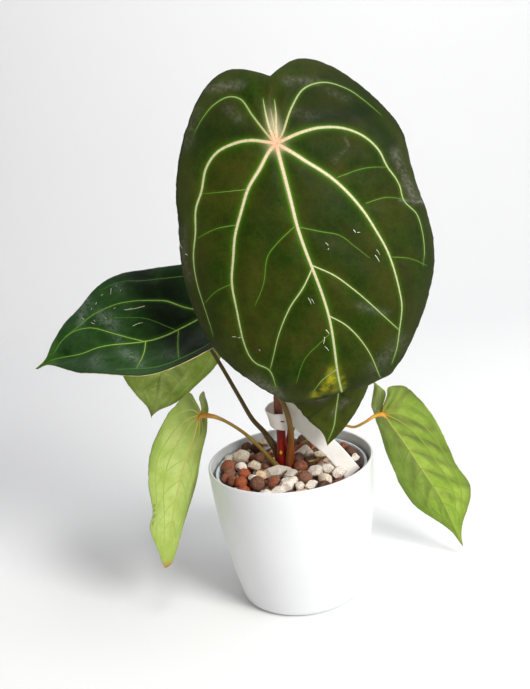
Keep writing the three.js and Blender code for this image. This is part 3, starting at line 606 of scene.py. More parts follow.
LEAVES = {
    "leaf_1": leaf_shape(
        # The tip's lighter olive is partly its own colour and partly painted light where the tip is lit
        tip_mark=[(236, 0), (252, 0.8), (317, 1)],
        at=(16, -62, 441.5), turn=(4, 8, 6),
        arch=[(-90, -34), (-30, -16), (60, -3), (140, 4), (203, 16), (237, 92), (249, 92), (271, 20),
              (309, 0)],
        left=[(0, 0), (20, 8), (70, 20), (110, 44), (140, 60)],
        right=[(0, 0), (20, 8), (70, 15), (110, 30), (140, 44)],
        hold=[(190, 1), (230, 0.6), (300, 0.8)],
        sway=[(0, 0), (60, 1), (155, 11), (222, 7), (317, -8)],
        left_notch=(9.6, -57), right_notch=(9.6, -57), shoulder=-20,
        left_margin=[(9.6, -57), (1, -64), (-23, -73), (-43, -65), (-69, -36), (-89, 4), (-100, 48),
                     (-113, 100), (-115, 134), (-103, 167), (-75, 195), (-52, 214), (-42, 235),
                     (-32, 264), (-14, 290), (-3, 303), (0, 317)],
        right_margin=[(9.6, -57), (17, -62), (37, -70), (59, -64), (88, -37), (113, -1), (117, 40),
                      (120, 85), (113, 117), (91, 160), (67, 197), (52, 214), (44, 234), (43, 266),
                      (31, 291), (16, 306), (0, 317)],
        wave=1.6, waves=9, phase=0.7, columns=7, lobe_rows=8, blade_rows=26, fine=7, quilt=2.2,
        ragged=0.6, tuck=0,
        folds=[(118, 8, 107, 34, 5, 2.4), (106, 40, 119, 56, 4, -2.2), (109, 64, 121, 80, 4, 2.0),
               (100, 52, 116, 70, 3, -1.4), (-96, 150, -112, 158, 6, 1.8), (-84, 160, -100, 178, 6, -1.6),
               (-66, 180, -84, 190, 5, 1.6), (-52, 202, -20, 214, 5, -1.6), (8, 200, 44, 214, 6, 1.5),
               (-34, 252, -10, 264, 4, 1.2), (12, 262, 36, 250, 4, -1.2), (-22, 276, -5, 288, 4, -1.0),
               (8, 282, 26, 282, 4, 1.0), (-60, -44, -34, -62, 6, 1.6), (36, -62, 62, -52, 6, 1.6),
               (88, -30, 104, -8, 6, -1.4), (-92, 40, -106, 70, 6, 1.2)],
        blots=[(-3, 198, -3, 214, 5, 0.95), (-4, 204, -20, 218, 4.5, 0.8), (3, 206, 4, 218, 3.5, 0.7)],
        # Painted sheen where the wrinkles of the lobes and margins catch the light
        silver=[(22, -50, 48, -46, 4, 0.5), (56, -36, 70, -26, 4, 0.35), (22, -22, 40, -15, 4, 0.45),
                (-42, -60, -16, -56, 4, 0.4), (-31, -40, -25, -28, 5, 0.25),
                (-58, -46, -72, -22, 5, 0.25), (101, 26, 107, 52, 5, 0.6), (106, 50, 111, 68, 5, 0.7),
                (96, 69, 118, 74, 2.2, 0.9), (60, -2, 59, 14, 1.0, 0.45), (59, 14, 42, 26, 1.0, 0.45),
                (28, 146, 50, 160, 3, 0.35), (-72, 194, -50, 211, 6, 0.4), (34, 205, 60, 190, 8, 0.3),
                (-26, 256, -2, 268, 6, 0.5), (6, 258, 28, 256, 5, 0.5), (8, 286, 20, 278, 4, 0.4),
                (-98, 50, -106, 90, 6, 0.25)],
        # Painted shade: the crease over the folded tip, the darker lobes, the bays by the veins and the
        # margins
        shades=[(40, -12, 84, -14, 15, 0.8), (70, -24, 98, 16, 12, 0.6), (16, -16, 56, -24, 11, 0.6),
                (28, 14, 66, 20, 13, 0.35), (-14, -16, -50, -26, 11, 0.4), (12, 24, 26, 52, 8, 0.35),
                (-8, 22, -26, 58, 8, 0.25), (84, 6, 92, 58, 16, 0.4), (22, 60, 44, 108, 18, 0.3),
                (76, 116, 70, 172, 16, 0.3), (0, 214, 60, 206, 10, 0.35), (-46, 206, -2, 222, 8, 0.4),
                (60, -46, 104, -26, 18, 0.55), (104, -26, 122, 6, 16, 0.5), (106, 84, 103, 132, 14, 0.4),
                (103, 132, 66, 196, 12, 0.35), (100, 10, 104, 60, 12, 0.3),
                (34, -36, 84, -26, 20, 0.5), (-30, -42, -62, -22, 14, 0.3), (80, 14, 84, 60, 14, 0.3),
                (24, 44, 46, 64, 12, 0.3), (14, 84, 46, 130, 12, 0.2), (-20, 50, -22, 80, 9, 0.2),
                (-46, 238, 46, 238, 4, 0.85), (-40, 229, 44, 230, 7, 0.6), (96, 70, 117, 76, 1.5, 0.7),
                (0, 276, -18, 288, 1.2, 0.5), (0, 262, 24, 276, 1.2, 0.5), (0, 256, -24, 264, 1.2, 0.5)],
        scuffs=[(44.5, 83, 1, 3, 1.0), (47, 86, 2.5, 0.5, 0.7), (18, 88, 1.5, 3, 0.7),
                (19, 93, -1.5, 1, 0.6), (55, 108, 1.5, 7, 0.9), (58, 104, 1, 5, 0.6),
                (-12, 129, 0.5, 6, 0.7), (-10, 130, 1, 5, 0.5), (-5, 159, 2, 4, 0.9),
                (-7, 165, -2, 6, 0.8), (-8, 173, 3, 5, 0.7), (-85, 150, 4, 1, 0.6),
                (-80, 152, 4, -0.5, 0.5), (-64, 165, 1, 2, 0.5), (-103, 60, 1, 5, 0.8),
                (-100, 70, 2, 2, 0.8)]),
    "leaf_2": leaf_shape(
        tip_mark=[(176, 0), (214, 1)],
        at=(-32.4, 14, 294), turn=(-14, 42, -73),
        arch=[(-60, -24), (0, -8), (100, 2), (200, 22), (230, 26)],
        left=[(0, -4), (40, 4), (80, 18)], right=[(0, -30), (40, -34), (80, -36)],
        sway=[(0, 0), (80, 13), (150, -1), (206, -14)],
        left_notch=(-1, -20), right_notch=(1, -20), shoulder=-12,
        left_margin=[(-1, -20), (-9, -28), (-24, -31), (-44, -20), (-58, 10), (-67, 42), (-86, 79),
                     (-89, 102), (-80, 120), (-55, 149), (-41, 172), (-18, 191), (-4, 202), (0, 218)],
        right_margin=[(1, -20), (9, -28), (24, -31), (45, -24), (61, -2), (67, 36), (63, 67), (59, 105),
                      (47, 134), (24, 167), (8, 196), (0, 218)],
        wave=1.5, waves=7, phase=0.4, columns=5, lobe_rows=6, blade_rows=18, fine=8, quilt=1.9,
        folds=[(-60, 118, -30, 150, 8, -1.2), (-72, 100, -60, 70, 6, 1.2), (20, 108, 30, 140, 7, 1.2),
               (10, 70, 40, 76, 6, -1.2), (-20, 100, -34, 60, 8, 1.0)],
        # Painted shadow that leaf 1 casts over this blade's right side
        shades=[(-84, 88, -20, 72, 18, 0.9), (-50, 62, 20, 56, 22, 0.95), (-20, 72, 60, 44, 20, 0.95)],
        # Dust, with painted sheen over it
        silver=[(-50, 150, -34, 154, 6, 0.5), (-60, 146, -50, 142, 5, 0.4), (-36, 132, -22, 122, 8, 0.5),
                (-14, 120, 2, 116, 6, 0.3), (14, 112, 26, 104, 6, 0.5), (32, 72, 44, 62, 6, 0.4),
                (30, 100, 42, 94, 5, 0.4), (18, 140, 34, 134, 6, 0.4), (-70, 112, -60, 108, 5, 0.3)],
        scuffs=[(-38, 87, 1.5, 20, 0.9), (-38, 100, 1, 8, 0.6), (-17, 102, -3.5, -9, 0.8),
                (-19, 96, -1, -5, 0.5), (-66, 118, 9, 1, 0.7), (-29, 143, 3.5, -4, 0.7),
                (-31, 140, 3, -2, 0.5), (-59, 127, 2, 2, 0.6), (-41, 116, 1.5, 2, 0.6),
                (-57, 144, 2, -2, 0.5), (-39, 153, 3, -3, 0.5), (-31, 128, 2, -2, 0.5),
                (-50, 134, 2, 2, 0.5), (-62, 108, 2, 1, 0.5), (-70, 112, 3, 1, 0.5),
                (-45, 140, 1.5, 2, 0.5)]),
    "leaf_3": leaf_shape(
        tip_mark=[(118, 0), (131, 1)],
        at=(-86.5, 75, 276), turn=(196, 20, 20), arch=[(-60, -44), (0, -8), (90, 4), (150, 12)],
        left=[(0, -14), (40, 0), (80, 10)], right=[(0, -14), (40, 0), (80, 10)],
        left_notch=(-1, -16), right_notch=(1, -16), shoulder=-10,
        left_margin=[(-1, -16), (-8, -25), (-24, -28), (-42, -18), (-55, 6), (-60, 36), (-56, 66),
                     (-43, 93), (-24, 114), (-7, 125), (0, 132)],
        right_margin=[(1, -16), (8, -25), (24, -28), (42, -18), (54, 6), (58, 36), (52, 68), (40, 90),
                      (21, 110), (6, 122), (0, 132)],
        wave=1.6, waves=7, phase=1.1, columns=4, lobe_rows=5, blade_rows=14, fine=8, quilt=4.0,
        # Painted shade in the folds between the ribs
        shades=[(-4, 20, -34, 34, 4, 0.45), (-4, 42, -30, 60, 4, 0.45), (-4, 64, -24, 82, 4, 0.4),
                (4, 20, 34, 34, 4, 0.45), (4, 42, 30, 60, 4, 0.45), (4, 64, 24, 82, 4, 0.4),
                (-3, 86, -16, 100, 3, 0.35), (3, 86, 16, 100, 3, 0.35)]),
    "leaf_4": leaf_shape(
        tip_mark=[(147, 0), (154, 1)],
        at=(-79.3, -18, 199.6), turn=(218, 8, 20), hold=[(-20, 1.6), (70, 1)],
        arch=[(-40, -34), (0, -16), (50, 0), (100, 6), (160, 10)],
        left=[(0, -12), (20, -20), (44, -26)], right=[(0, -12), (20, -20), (44, -26)],
        sway=[(-25, 14), (0, 0), (25, -4), (60, -1), (100, 0)],
        left_notch=(-0.5, -17), right_notch=(4, -15), shoulder=-6,
        left_margin=[(-0.5, -16), (-2, -22), (-5, -25), (-9, -23), (-12, -15), (-13, -2), (-20, 16),
                     (-25, 30), (-28, 50), (-29, 75), (-24, 109), (-14, 140), (-8, 152), (0, 155)],
        right_margin=[(4, -15), (6, -20), (10, -21), (17, -14), (25, -4), (34, 25), (36, 48), (31, 74),
                      (20, 102), (21, 117), (10, 138), (3, 151), (0, 155)],
        wave=0.9, waves=6, phase=0.5, columns=4, lobe_rows=5, blade_rows=16, fine=8, quilt=1.2,
        # Painted shade at the top and along the margins; the last four strokes are dark scratches
        shades=[(8, -22, 6, -4, 16, 0.8), (24, -6, 12, 12, 9, 0.5), (-8, -26, -10, 20, 8, 0.7),
                (-26, 30, -27, 100, 3.5, 0.4), (0, -20, 0, 8, 30, 0.45), (32, 24, 34, 60, 4, 0.3),
                (20, 94, 20.5, 96, 0.7, 0.9), (19, 99, 19.2, 100, 0.7, 0.9),
                (18, 104, 18.6, 107, 0.7, 0.9), (18.6, 110, 18.8, 113, 0.7, 0.9)]),
    "leaf_5": leaf_shape(
        tip_mark=[(150, 0), (172, 0.5)],
        at=(94.9, 14, 167.5), turn=(157, 14, -24), hold=[(-30, 2), (50, 1)],
        arch=[(-40, -26), (0, -12), (60, 0), (110, 6), (180, 12)],
        left=[(0, -12), (20, -16), (50, -18)], right=[(0, -12), (20, -16), (50, -18)],
        sway=[(-25, -18), (0, 0), (20, 2), (80, 3), (110, 2), (174, 7)],
        twist=[(-20, 24), (60, 4), (170, -16)],
        left_notch=(-1, -17), right_notch=(1, -20), shoulder=-6,
        left_margin=[(-1, -17), (-3, -25), (-7, -29), (-13, -27), (-25, -17), (-40, -3), (-42, 12),
                     (-39, 40), (-36, 71), (-32, 92), (-32, 117), (-26, 131), (-10, 150), (-3, 163),
                     (0, 173)],
        right_margin=[(1, -20), (3, -28), (8, -32), (14, -32), (20, -27), (23, -18), (20, -6), (24, 20),
                      (31, 45), (36, 76), (40, 92), (36, 113), (19, 134), (5, 155), (0, 173)],
        wave=1.2, waves=7, phase=0.8, columns=4, lobe_rows=5, blade_rows=17, fine=8, quilt=4.0,
        # Painted light on the small lobe, which lies in leaf 1's shadow
        blots=[(12, -28, 16, -8, 9, 0.9)],
        # Painted shade in the folds between the ribs and on the lobes
        shades=[(-14, -24, -7, -6, 4, 0.6), (-5, -28, -2, -8, 3, 0.5), (-26, -12, -14, -2, 5, 0.5),
                (20, -18, 20, -6, 3, 0.4), (-5, 8, -31, 42, 4, 0.65), (-5, 32, -31, 68, 4, 0.65),
                (-5, 56, -30, 90, 4, 0.5), (-5, 82, -29, 116, 3.5, 0.45), (-4, 110, -20, 132, 3, 0.3),
                (4, 34, 16, 60, 4, 0.4), (4, 64, 22, 96, 4, 0.4), (4, 96, 22, 120, 3, 0.3),
                (22, 30, 30, 56, 4, 0.35), (-30, 40, -32, 110, 3, 0.3)]),
    "leaf_6": leaf_shape(
        tip_mark=[(60, 0), (69, 0.5)],
        at=(8, 48, 210), turn=(186, 4, 2), arch=[(-20, -20), (0, -8), (40, 4), (70, 10)],
        left=[(0, -10), (16, -16)], right=[(0, -10), (16, -16)],
        left_notch=(-0.7, -6), right_notch=(0.7, -6), shoulder=-4,
        left_margin=[(-0.7, -6), (-3, -10), (-8, -11), (-13, -4), (-15, 12), (-13, 36), (-7, 56), (0, 69)],
        right_margin=[(0.7, -6), (3, -10), (8, -11), (13, -4), (15, 12), (13, 36), (7, 56), (0, 69)],
        wave=0.6, waves=5, phase=0.2, columns=3, lobe_rows=4, blade_rows=10, fine=6, quilt=0.4),
}

# Veins of the two leaves that show their upper faces: (start width, end width, paleness, flat points)
VEINS = {
    "leaf_1": [
        (4.6, 1.5, 1.0, [(0, -2), (0, 60), (0, 120), (0, 180), (1, 204), (4, 228), (9, 252),
                         (12, 268), (11, 283), (9, 299), (5, 307), (1, 313)]),
        (4.2, 1.2, 1.0, [(0, 0), (-7, 5), (-18, 17), (-31, 30), (-41, 46), (-51, 64), (-59, 83), (-68, 103),
                         (-72, 120), (-76, 155), (-71, 175), (-57, 187), (-53, 203)]),
        (4.6, 1.1, 1.0, [(0, 0), (9, 8), (20, 19), (37, 36), (50, 54), (59, 71), (64, 89), (67, 108),
                         (66, 143), (65, 158), (60, 178), (56, 194), (50, 206)]),
        (4.0, 0.7, 0.9, [(0, 0), (-7, -3), (-20, -8), (-34, -9), (-49, -6), (-61, 4), (-70, 22), (-79, 36),
                         (-85, 56), (-93, 75), (-99, 97), (-102, 118), (-104, 148)]),
        (4.2, 0.7, 0.85, [(0, 0), (9, -2), (23, -5), (40, -6), (60, -2), (76, 8), (86, 22), (90, 37),
                         (98, 54), (99, 69), (108, 83), (107, 99), (102, 115), (95, 129)]),
        (3.0, 0.6, 0.6, [(0, 0), (-5, -9), (-13, -28), (-19, -44), (-28, -49), (-42, -46), (-55, -37),
                          (-64, -28)]),
        (3.0, 0.6, 0.66, [(0, 0), (7, -7), (20, -27), (35, -42), (54, -45), (72, -37), (85, -25),
                          (98, -10)]),
        (4.4, 0.8, 1.0, [(0, 0), (-2, -14), (-2, -27), (-1, -40)]),
        (4.4, 0.8, 1.0, [(1, 0), (3, -12), (6, -24), (8, -37)]),
        (2.2, 0.6, 0.9, [(1, -4), (2, -18), (3, -30)]),
        (1.6, 1.0, 0.9, [(0, 106), (-13, 120), (-30, 135), (-45, 156), (-57, 187)]),
        (1.8, 1.1, 0.9, [(0, 103), (15, 116), (27, 132), (44, 157), (61, 180)]),
        (1.6, 0.9, 0.85, [(0, 148), (12, 159), (23, 175), (32, 194), (39, 221)]),
        (1.2, 0.6, 0.35, [(0, 68), (-21, 80), (-31, 88), (-43, 110), (-57, 127)]),
        (1.2, 0.6, 0.3, [(0, 70), (17, 78), (32, 85), (41, 97), (50, 110)]),
        (1.2, 0.7, 0.6, [(0, 196), (-15, 205), (-23, 218)]),
        (0.9, 0.5, 0.25, [(0, 162), (-14, 171), (-26, 181), (-36, 203)]),
        (1.0, 0.6, 0.45, [(-31, 31), (-50, 28), (-72, 24)]),
        (1.0, 0.6, 0.45, [(-47, 57), (-66, 56), (-85, 60)]),
        (0.9, 0.6, 0.3, [(-67, 104), (-84, 108), (-100, 117)]),
        (1.0, 0.6, 0.35, [(42, 38), (69, 35), (91, 38)]),
        (1.0, 0.6, 0.35, [(62, 64), (82, 63), (100, 68)]),
        (0.9, 0.6, 0.3, [(67, 113), (84, 119), (99, 130)]),
    ],
    "leaf_2": [
        (3.0, 1.0, 0.8, [(0, -2), (0, 60), (0, 120), (0, 170), (0, 206)]),
        (2.0, 0.8, 0.7, [(0, 10), (-12, 41), (-37, 69), (-46, 91), (-46, 110), (-41, 128), (-35, 148),
                         (-22, 176)]),
        (1.6, 0.7, 0.25, [(0, 8), (18, 16), (40, 22), (55, 33), (54, 60), (51, 79), (47, 99), (46, 118)]),
        (1.3, 0.7, 0.6, [(-1, 60), (26, 61), (54, 60)]),
        (1.4, 0.7, 0.85, [(-1, 93), (21, 94), (47, 99)]),
        (1.3, 0.6, 0.75, [(0, 93), (-11, 120), (-27, 157), (-20, 177), (-6, 192)]),
        (0.9, 0.5, 0.1, [(0, 61), (-24, 89), (-30, 123)]),
        (1.5, 0.5, 0.12, [(0, 0), (-18, 4), (-38, 20), (-54, 48), (-70, 84), (-74, 108), (-64, 130)]),
        (1.6, 0.6, 0.6, [(0, 0), (-12, -8), (-26, -14), (-40, -8)]),
        (1.6, 0.6, 0.6, [(0, 0), (12, -8), (26, -14), (42, -6), (52, 12)]),
    ],
}

# Colours and finish of each leaf, read face on in soft light.
# deep, warm, fresh: the upper face and its two mottles. edge: painted sheen towards its margin. tip: its
# tip.
# blot: a yellow patch, and on leaf 5 painted light. silver: painted sheen on
# wrinkles, with dust on leaf 2. shade: painted shade. scuff: its scratches. glow, faint, fringe: the lining
# of the veins, up to the vein.
# rib, heart: the veins, and where they meet. rim: the blade's thin margin. under and the rest: the lower
# face. net, rough, shine, sheen, dust: the upper face's fine net, roughness, gloss, haze where it curves
# away, and dust. through: how much light passes into the lower face.

def leaf_look(**given):
    plain = {"net": 0.15, "rough": 0.42, "shine": 0.35, "sheen": 0.12, "dust": 0.1, "through": 0.25,
             "silver": "#a0a890", "scuff": "#d8dcd2", "blot": "#b0a838", "under_tip": given["rim"]}
    return {**plain, **given}


LOOKS = {
    "leaf_1": leaf_look(
        deep="#1e2e05", warm="#34350d", fresh="#2e4008", edge="#363c20", tip="#3e4612", blot="#b0ab28",
        silver="#77746a", shade="#141e12",
        glow="#3c620e", faint="#527a1c", fringe="#a9b07c", rib="#d4c4a8", heart="#e2a386", rim="#e0b490",
        under="#75834a", under_pale="#87965a", under_dark="#5e6e3a", under_rib="#b4b884",
        under_tip="#6c7c42",
        net=0.11, rough=0.5, shine=0.05, sheen=0.06, dust=0.05, through=0.1),
    "leaf_2": leaf_look(
        deep="#16340b", warm="#294420", fresh="#335a26", edge="#264422", tip="#4a8020", blot="#5c7a30",
        silver="#7f8c7f", shade="#0c1606", scuff="#efe9cf",
        glow="#3f741b", faint="#54842a", fringe="#7fa046", rib="#c8da74", heart="#d8b070", rim="#e6d09c",
        under="#66803e", under_pale="#788f4c", under_dark="#4e6830", under_rib="#a0ae68",
        under_tip="#66803e",
        net=0.08, rough=0.34, shine=0.12, sheen=0.0, dust=0.3, through=0.1),
    "leaf_3": leaf_look(
        deep="#2c4a14", warm="#38501c", fresh="#44601f", edge="#485f2c", tip="#5a6a2c", shade="#66782c",
        glow="#6d9034", faint="#86a048", fringe="#a4b468", rib="#c2cc80", heart="#c8a468", rim="#9a8a58",
        under="#98aa46", under_pale="#bcc870", under_dark="#748634", under_rib="#c0c880",
        rough=0.45, through=0.5),
    "leaf_4": leaf_look(
        deep="#46641c", warm="#506c24", fresh="#5e7c2a", edge="#5c7434", tip="#7a7034", shade="#5a6c2c",
        glow="#88a448", faint="#9cb05a", fringe="#b4c274", rib="#cfd68c", heart="#b98838", rim="#a5703c",
        under="#94aa4c", under_pale="#b0bf70", under_dark="#80943e", under_rib="#bbae5c"),
    "leaf_5": leaf_look(
        deep="#67862c", warm="#6f8c32", fresh="#7f9f3e", edge="#7c9a44", tip="#66702c", blot="#d8e88a",
        shade="#5e6430",
        glow="#8fae4c", faint="#9cb45a", fringe="#a8ba68", rib="#c8d084", heart="#c99440", rim="#8a8a48",
        under="#7c9a2e", under_pale="#9db448", under_dark="#667c2c", under_rib="#b4b458"),
    "leaf_6": leaf_look(
        deep="#3c5a18", warm="#466420", fresh="#527426", edge="#506c2e", tip="#66702c", shade="#4c6420",
        glow="#7c9a40", faint="#90a850", fringe="#a8ba68", rib="#c8d084", heart="#b0704c", rim="#7a8040",
        under="#688034", under_pale="#7c9242", under_dark="#566e2c", under_rib="#96a052",
        through=0.2),
}


def blade_frame(leaf):
    """Directions along the midrib, to the side and out of the upper face, at the stalk."""
    yaw, tilt, spin = np.radians(leaf["turn"])
    out = np.array([math.sin(yaw) * math.cos(tilt), -math.cos(yaw) * math.cos(tilt), math.sin(tilt)])
    level = np.array([math.cos(yaw), math.sin(yaw), 0])
    down = np.cross(level, out)
    along = math.cos(spin) * down + math.sin(spin) * level
    side = math.cos(spin) * level - math.sin(spin) * down
    return along, side, out


MIDRIB_STEPS = 240
SIDE_STEPS = 40


def bent(angle_at, length, steps):
    """Follows a line that is bent by angle_at(distance), degrees, for each length: (forward, sideways)."""
    middles = (np.arange(steps) + 0.5) / steps
    angles = np.radians(angle_at(length[:, None] * middles))
    return length * np.cos(angles).mean(1), -length * np.sin(angles).mean(1)


def hang_blade(leaf, u, v, lift):
    """Places in space of flat points, with lift mm towards the upper face."""
    along, side, out = blade_frame(leaf)
    levels_v, back = np.unique(np.round(v, 2), return_inverse=True)
    ahead, rise = (part[back] for part in bent(lambda s: ease(leaf["arch"], s), levels_v, MIDRIB_STEPS))
    arch = np.radians(ease(leaf["arch"], v))
    hold = ease(leaf["hold"], v)[:, None]
    reach, sag = bent(lambda s: hold * np.where((u < 0)[:, None], ease(leaf["left"], s),
                                                ease(leaf["right"], s)), np.abs(u), SIDE_STEPS)
    twist = np.radians(ease(leaf["twist"], v))
    flat_x = np.sign(u) * reach
    flat_z = sag + lift
    x = flat_x * np.cos(twist) - flat_z * np.sin(twist) + ease(leaf["sway"], v)
    z = flat_x * np.sin(twist) + flat_z * np.cos(twist)
    return (np.array(leaf["at"], float) + along * (ahead + z * np.sin(arch))[:, None]
            + out * (rise + z * np.cos(arch))[:, None] + side * x[:, None])


def outward(margin, sign):
    """Directions away from the blade along the margin of its left (-1) or right (1) half."""
    run = unit(np.gradient(margin, axis=0))
    return np.column_stack([run[:, 1], -run[:, 0]]) * sign


def margin_rows(leaf, margin, sign):
    """Points along one half's margin, one for each row of its grid: the lobe's rows, then the blade's."""
    fine = leaf["fine"]
    turn = next(i for i, point in enumerate(margin) if i > 2 and point[1] > leaf["shoulder"])
    smooth = smooth_line(margin, MARGIN_STEPS, 2)
    cut = int(np.argmin(np.linalg.norm(smooth - margin[turn], axis=1)))
    spots = np.concatenate([evenly(smooth[:cut + 1], leaf["lobe_rows"] * fine)[:-1],
                            evenly(smooth[cut:], leaf["blade_rows"] * fine)])
    bumps = [noise.fractal(Vector((u / RAGGED_GRAIN, v / RAGGED_GRAIN, sign * 3)), 0.7, 2.0, 3)
             for u, v in spots.tolist()]
    order = np.arange(len(spots))
    fade = np.clip(np.minimum(order, order[::-1]) / (3 * fine), 0, 1)
    return spots + outward(spots, sign) * (np.array(bumps) * fade * leaf["ragged"])[:, None]


def half_grid(leaf, sign):
    """Flat points of one half, as rows from the midrib or the notch's edge out to the margin, and the lift
    that waves the margin and tucks one lobe under the other."""
    side = "left" if sign < 0 else "right"
    margin, notch = leaf[side + "_margin"], leaf[side + "_notch"]
    lobe_rows, columns = leaf["lobe_rows"] * leaf["fine"], leaf["columns"] * leaf["fine"]
    outer = margin_rows(leaf, margin, sign)
    rest, tip = outer[lobe_rows:], margin[-1][1]
    t = np.arange(lobe_rows)[:, None] / lobe_rows
    inner_lobe = np.array(notch) * (1 - t) + np.array((0, NOTCH_ROOT)) * t
    share = (rest[:, 1] - rest[0, 1]) / (tip - rest[0, 1])
    inner_rest = np.column_stack([np.zeros(len(rest)), NOTCH_ROOT + (tip - NOTCH_ROOT) * share])
    inner = np.concatenate([inner_lobe, inner_rest])
    t = np.linspace(0, 1, columns + 1)
    grid = inner[:, None] * (1 - t)[None, :, None] + outer[:, None] * t[None, :, None]
    grid[-1, :, 0] = 0
    row = np.arange(len(inner))[:, None]
    turns = leaf["waves"] * math.pi * row / (len(inner) - 1) + sign * leaf["phase"]
    wave = leaf["wave"] * t ** 3 * np.sin(turns)
    wave[lobe_rows:, 0] = 0
    tuck = np.where((row < lobe_rows) & (sign < 0), -leaf["tuck"] * (1 - t) * (1 - row / lobe_rows), 0)
    return grid, wave + tuck, outer


def margin_at(outer, shoulder, v):
    """How far out the margin is at v, above the lobes."""
    above = outer[outer[:, 1] >= shoulder]
    order = np.argsort(above[:, 1])
    return np.interp(v, above[order, 1], above[order, 0])


# Veins of a young leaf: (start width, end width, paleness, points), a point being (share of the half's
# width, share of the blade's length)
YOUNG_ARCS = [
    (1.6, 0.6, 0.7, [(0.25, 0.1), (0.42, 0.25), (0.5, 0.45), (0.46, 0.65), (0.3, 0.85)]),
    (1.5, 0.5, 0.6, [(0.3, 0.04), (0.6, 0.14), (0.78, 0.35), (0.8, 0.6), (0.72, 0.8)]),
    (1.3, 0.5, 0.5, [(0.35, -0.02), (0.75, 0.04), (0.92, 0.2), (0.93, 0.4)]),
]
YOUNG_BLADE = 130             # length of the blade that these widths belong to


def ruled_veins(leaf, outers):
    """Veins of a young leaf, by rule: a midrib, three arcs on each side that end near the tip, one to each
    lobe, and laterals that leave the midrib and run into the second arc."""
    tip = leaf["left_margin"][-1][1]
    size = tip / YOUNG_BLADE
    veins = [(2.0 * size, 0.6 * size, 1.0, [(0, -2), (0, tip * 0.4), (0, tip * 0.8), (0, tip * 0.95)])]
    for outer in outers:
        def place(share, v):
            return (share * margin_at(outer, leaf["shoulder"], v * tip), v * tip)

        for first, final, pale, path in YOUNG_ARCS:
            veins.append((first * size, final * size, pale, [(0, 0)] + [place(*point) for point in path]))
        low = outer[np.argmin(outer[:, 1])]
        veins.append((1.2 * size, 0.5 * size, 0.5, [
            (0, 0), tuple(low * 0.45), tuple(low * (0.78, 0.7))]))
        for v in (0.16, 0.3, 0.44, 0.57, 0.7):
            veins.append((1.0 * size, 0.5 * size, 0.45, [
                (0, v * tip), place(0.28, v + 0.05), place(0.56, v + 0.12), place(0.79, v + 0.2)]))
    return veins


def near_line(points, line):
    """Distance of flat points to a line, and how far along it the nearest place is, from 0 to 1."""
    nearest = np.full(len(points), 1e9)
    along = np.zeros(len(points))
    for k, (a, b) in enumerate(zip(line, line[1:])):
        step = b - a
        t = np.clip(((points - a) @ step) / (step @ step), 0, 1)
        distance = np.linalg.norm(points - a - t[:, None] * step, axis=1)
        closer = distance < nearest
        nearest[closer] = distance[closer]
        along[closer] = (k + t[closer]) / (len(line) - 1)
    return nearest, along


def vein_marks(points, veins):
    """How strongly each flat point is lit by the veins near it, and how far it is from the nearest vein."""
    glow = np.zeros(len(points))
    gap = np.full(len(points), 60.0)
    for start, end, pale, path in veins:
        line = smooth_line(path, max(4, int(line_length(path) / 4)), 2)
        distance, along = near_line(points, line)
        width = start + (end - start) * along
        pale = pale * (1 - 0.3 * along ** 2)
        beside = np.maximum(distance - width / 2, 0)
        shine = (0.25 + 0.75 * pale) * (0.56 * np.exp(-beside / (0.25 * width + 0.3))
                                        + 0.24 * np.exp(-beside / (1.3 * width + 1)))
        glow = np.maximum(glow, shine)
        gap = np.minimum(gap, distance + (1 - pale) * 2)
    return glow, gap


def near_star(points, width):
    """Strength of the pale tissue round the stalk and, towards the notch, between the basal veins."""
    u, v = points.T / width
    return np.maximum(0.45 * np.exp(-(u ** 2 + v ** 2) / 2.4),
                      0.55 * np.exp(-((u - 0.5) / 1.1) ** 2 - ((v + 2.6) / 3) ** 2))


def stroked(strokes, points, combine=np.maximum):
    """Effect at each flat point of strokes (u0, v0, u1, v1, half width, strength), of which the strongest
    counts, or their sum where combine adds."""
    effect = np.zeros(len(points))
    for u0, v0, u1, v1, half_width, strength in strokes:
        distance, _ = near_line(points, np.array([(u0, v0), (u1, v1)], float))
        effect = combine(effect, strength * np.exp(-(distance / half_width) ** 2))
    return effect


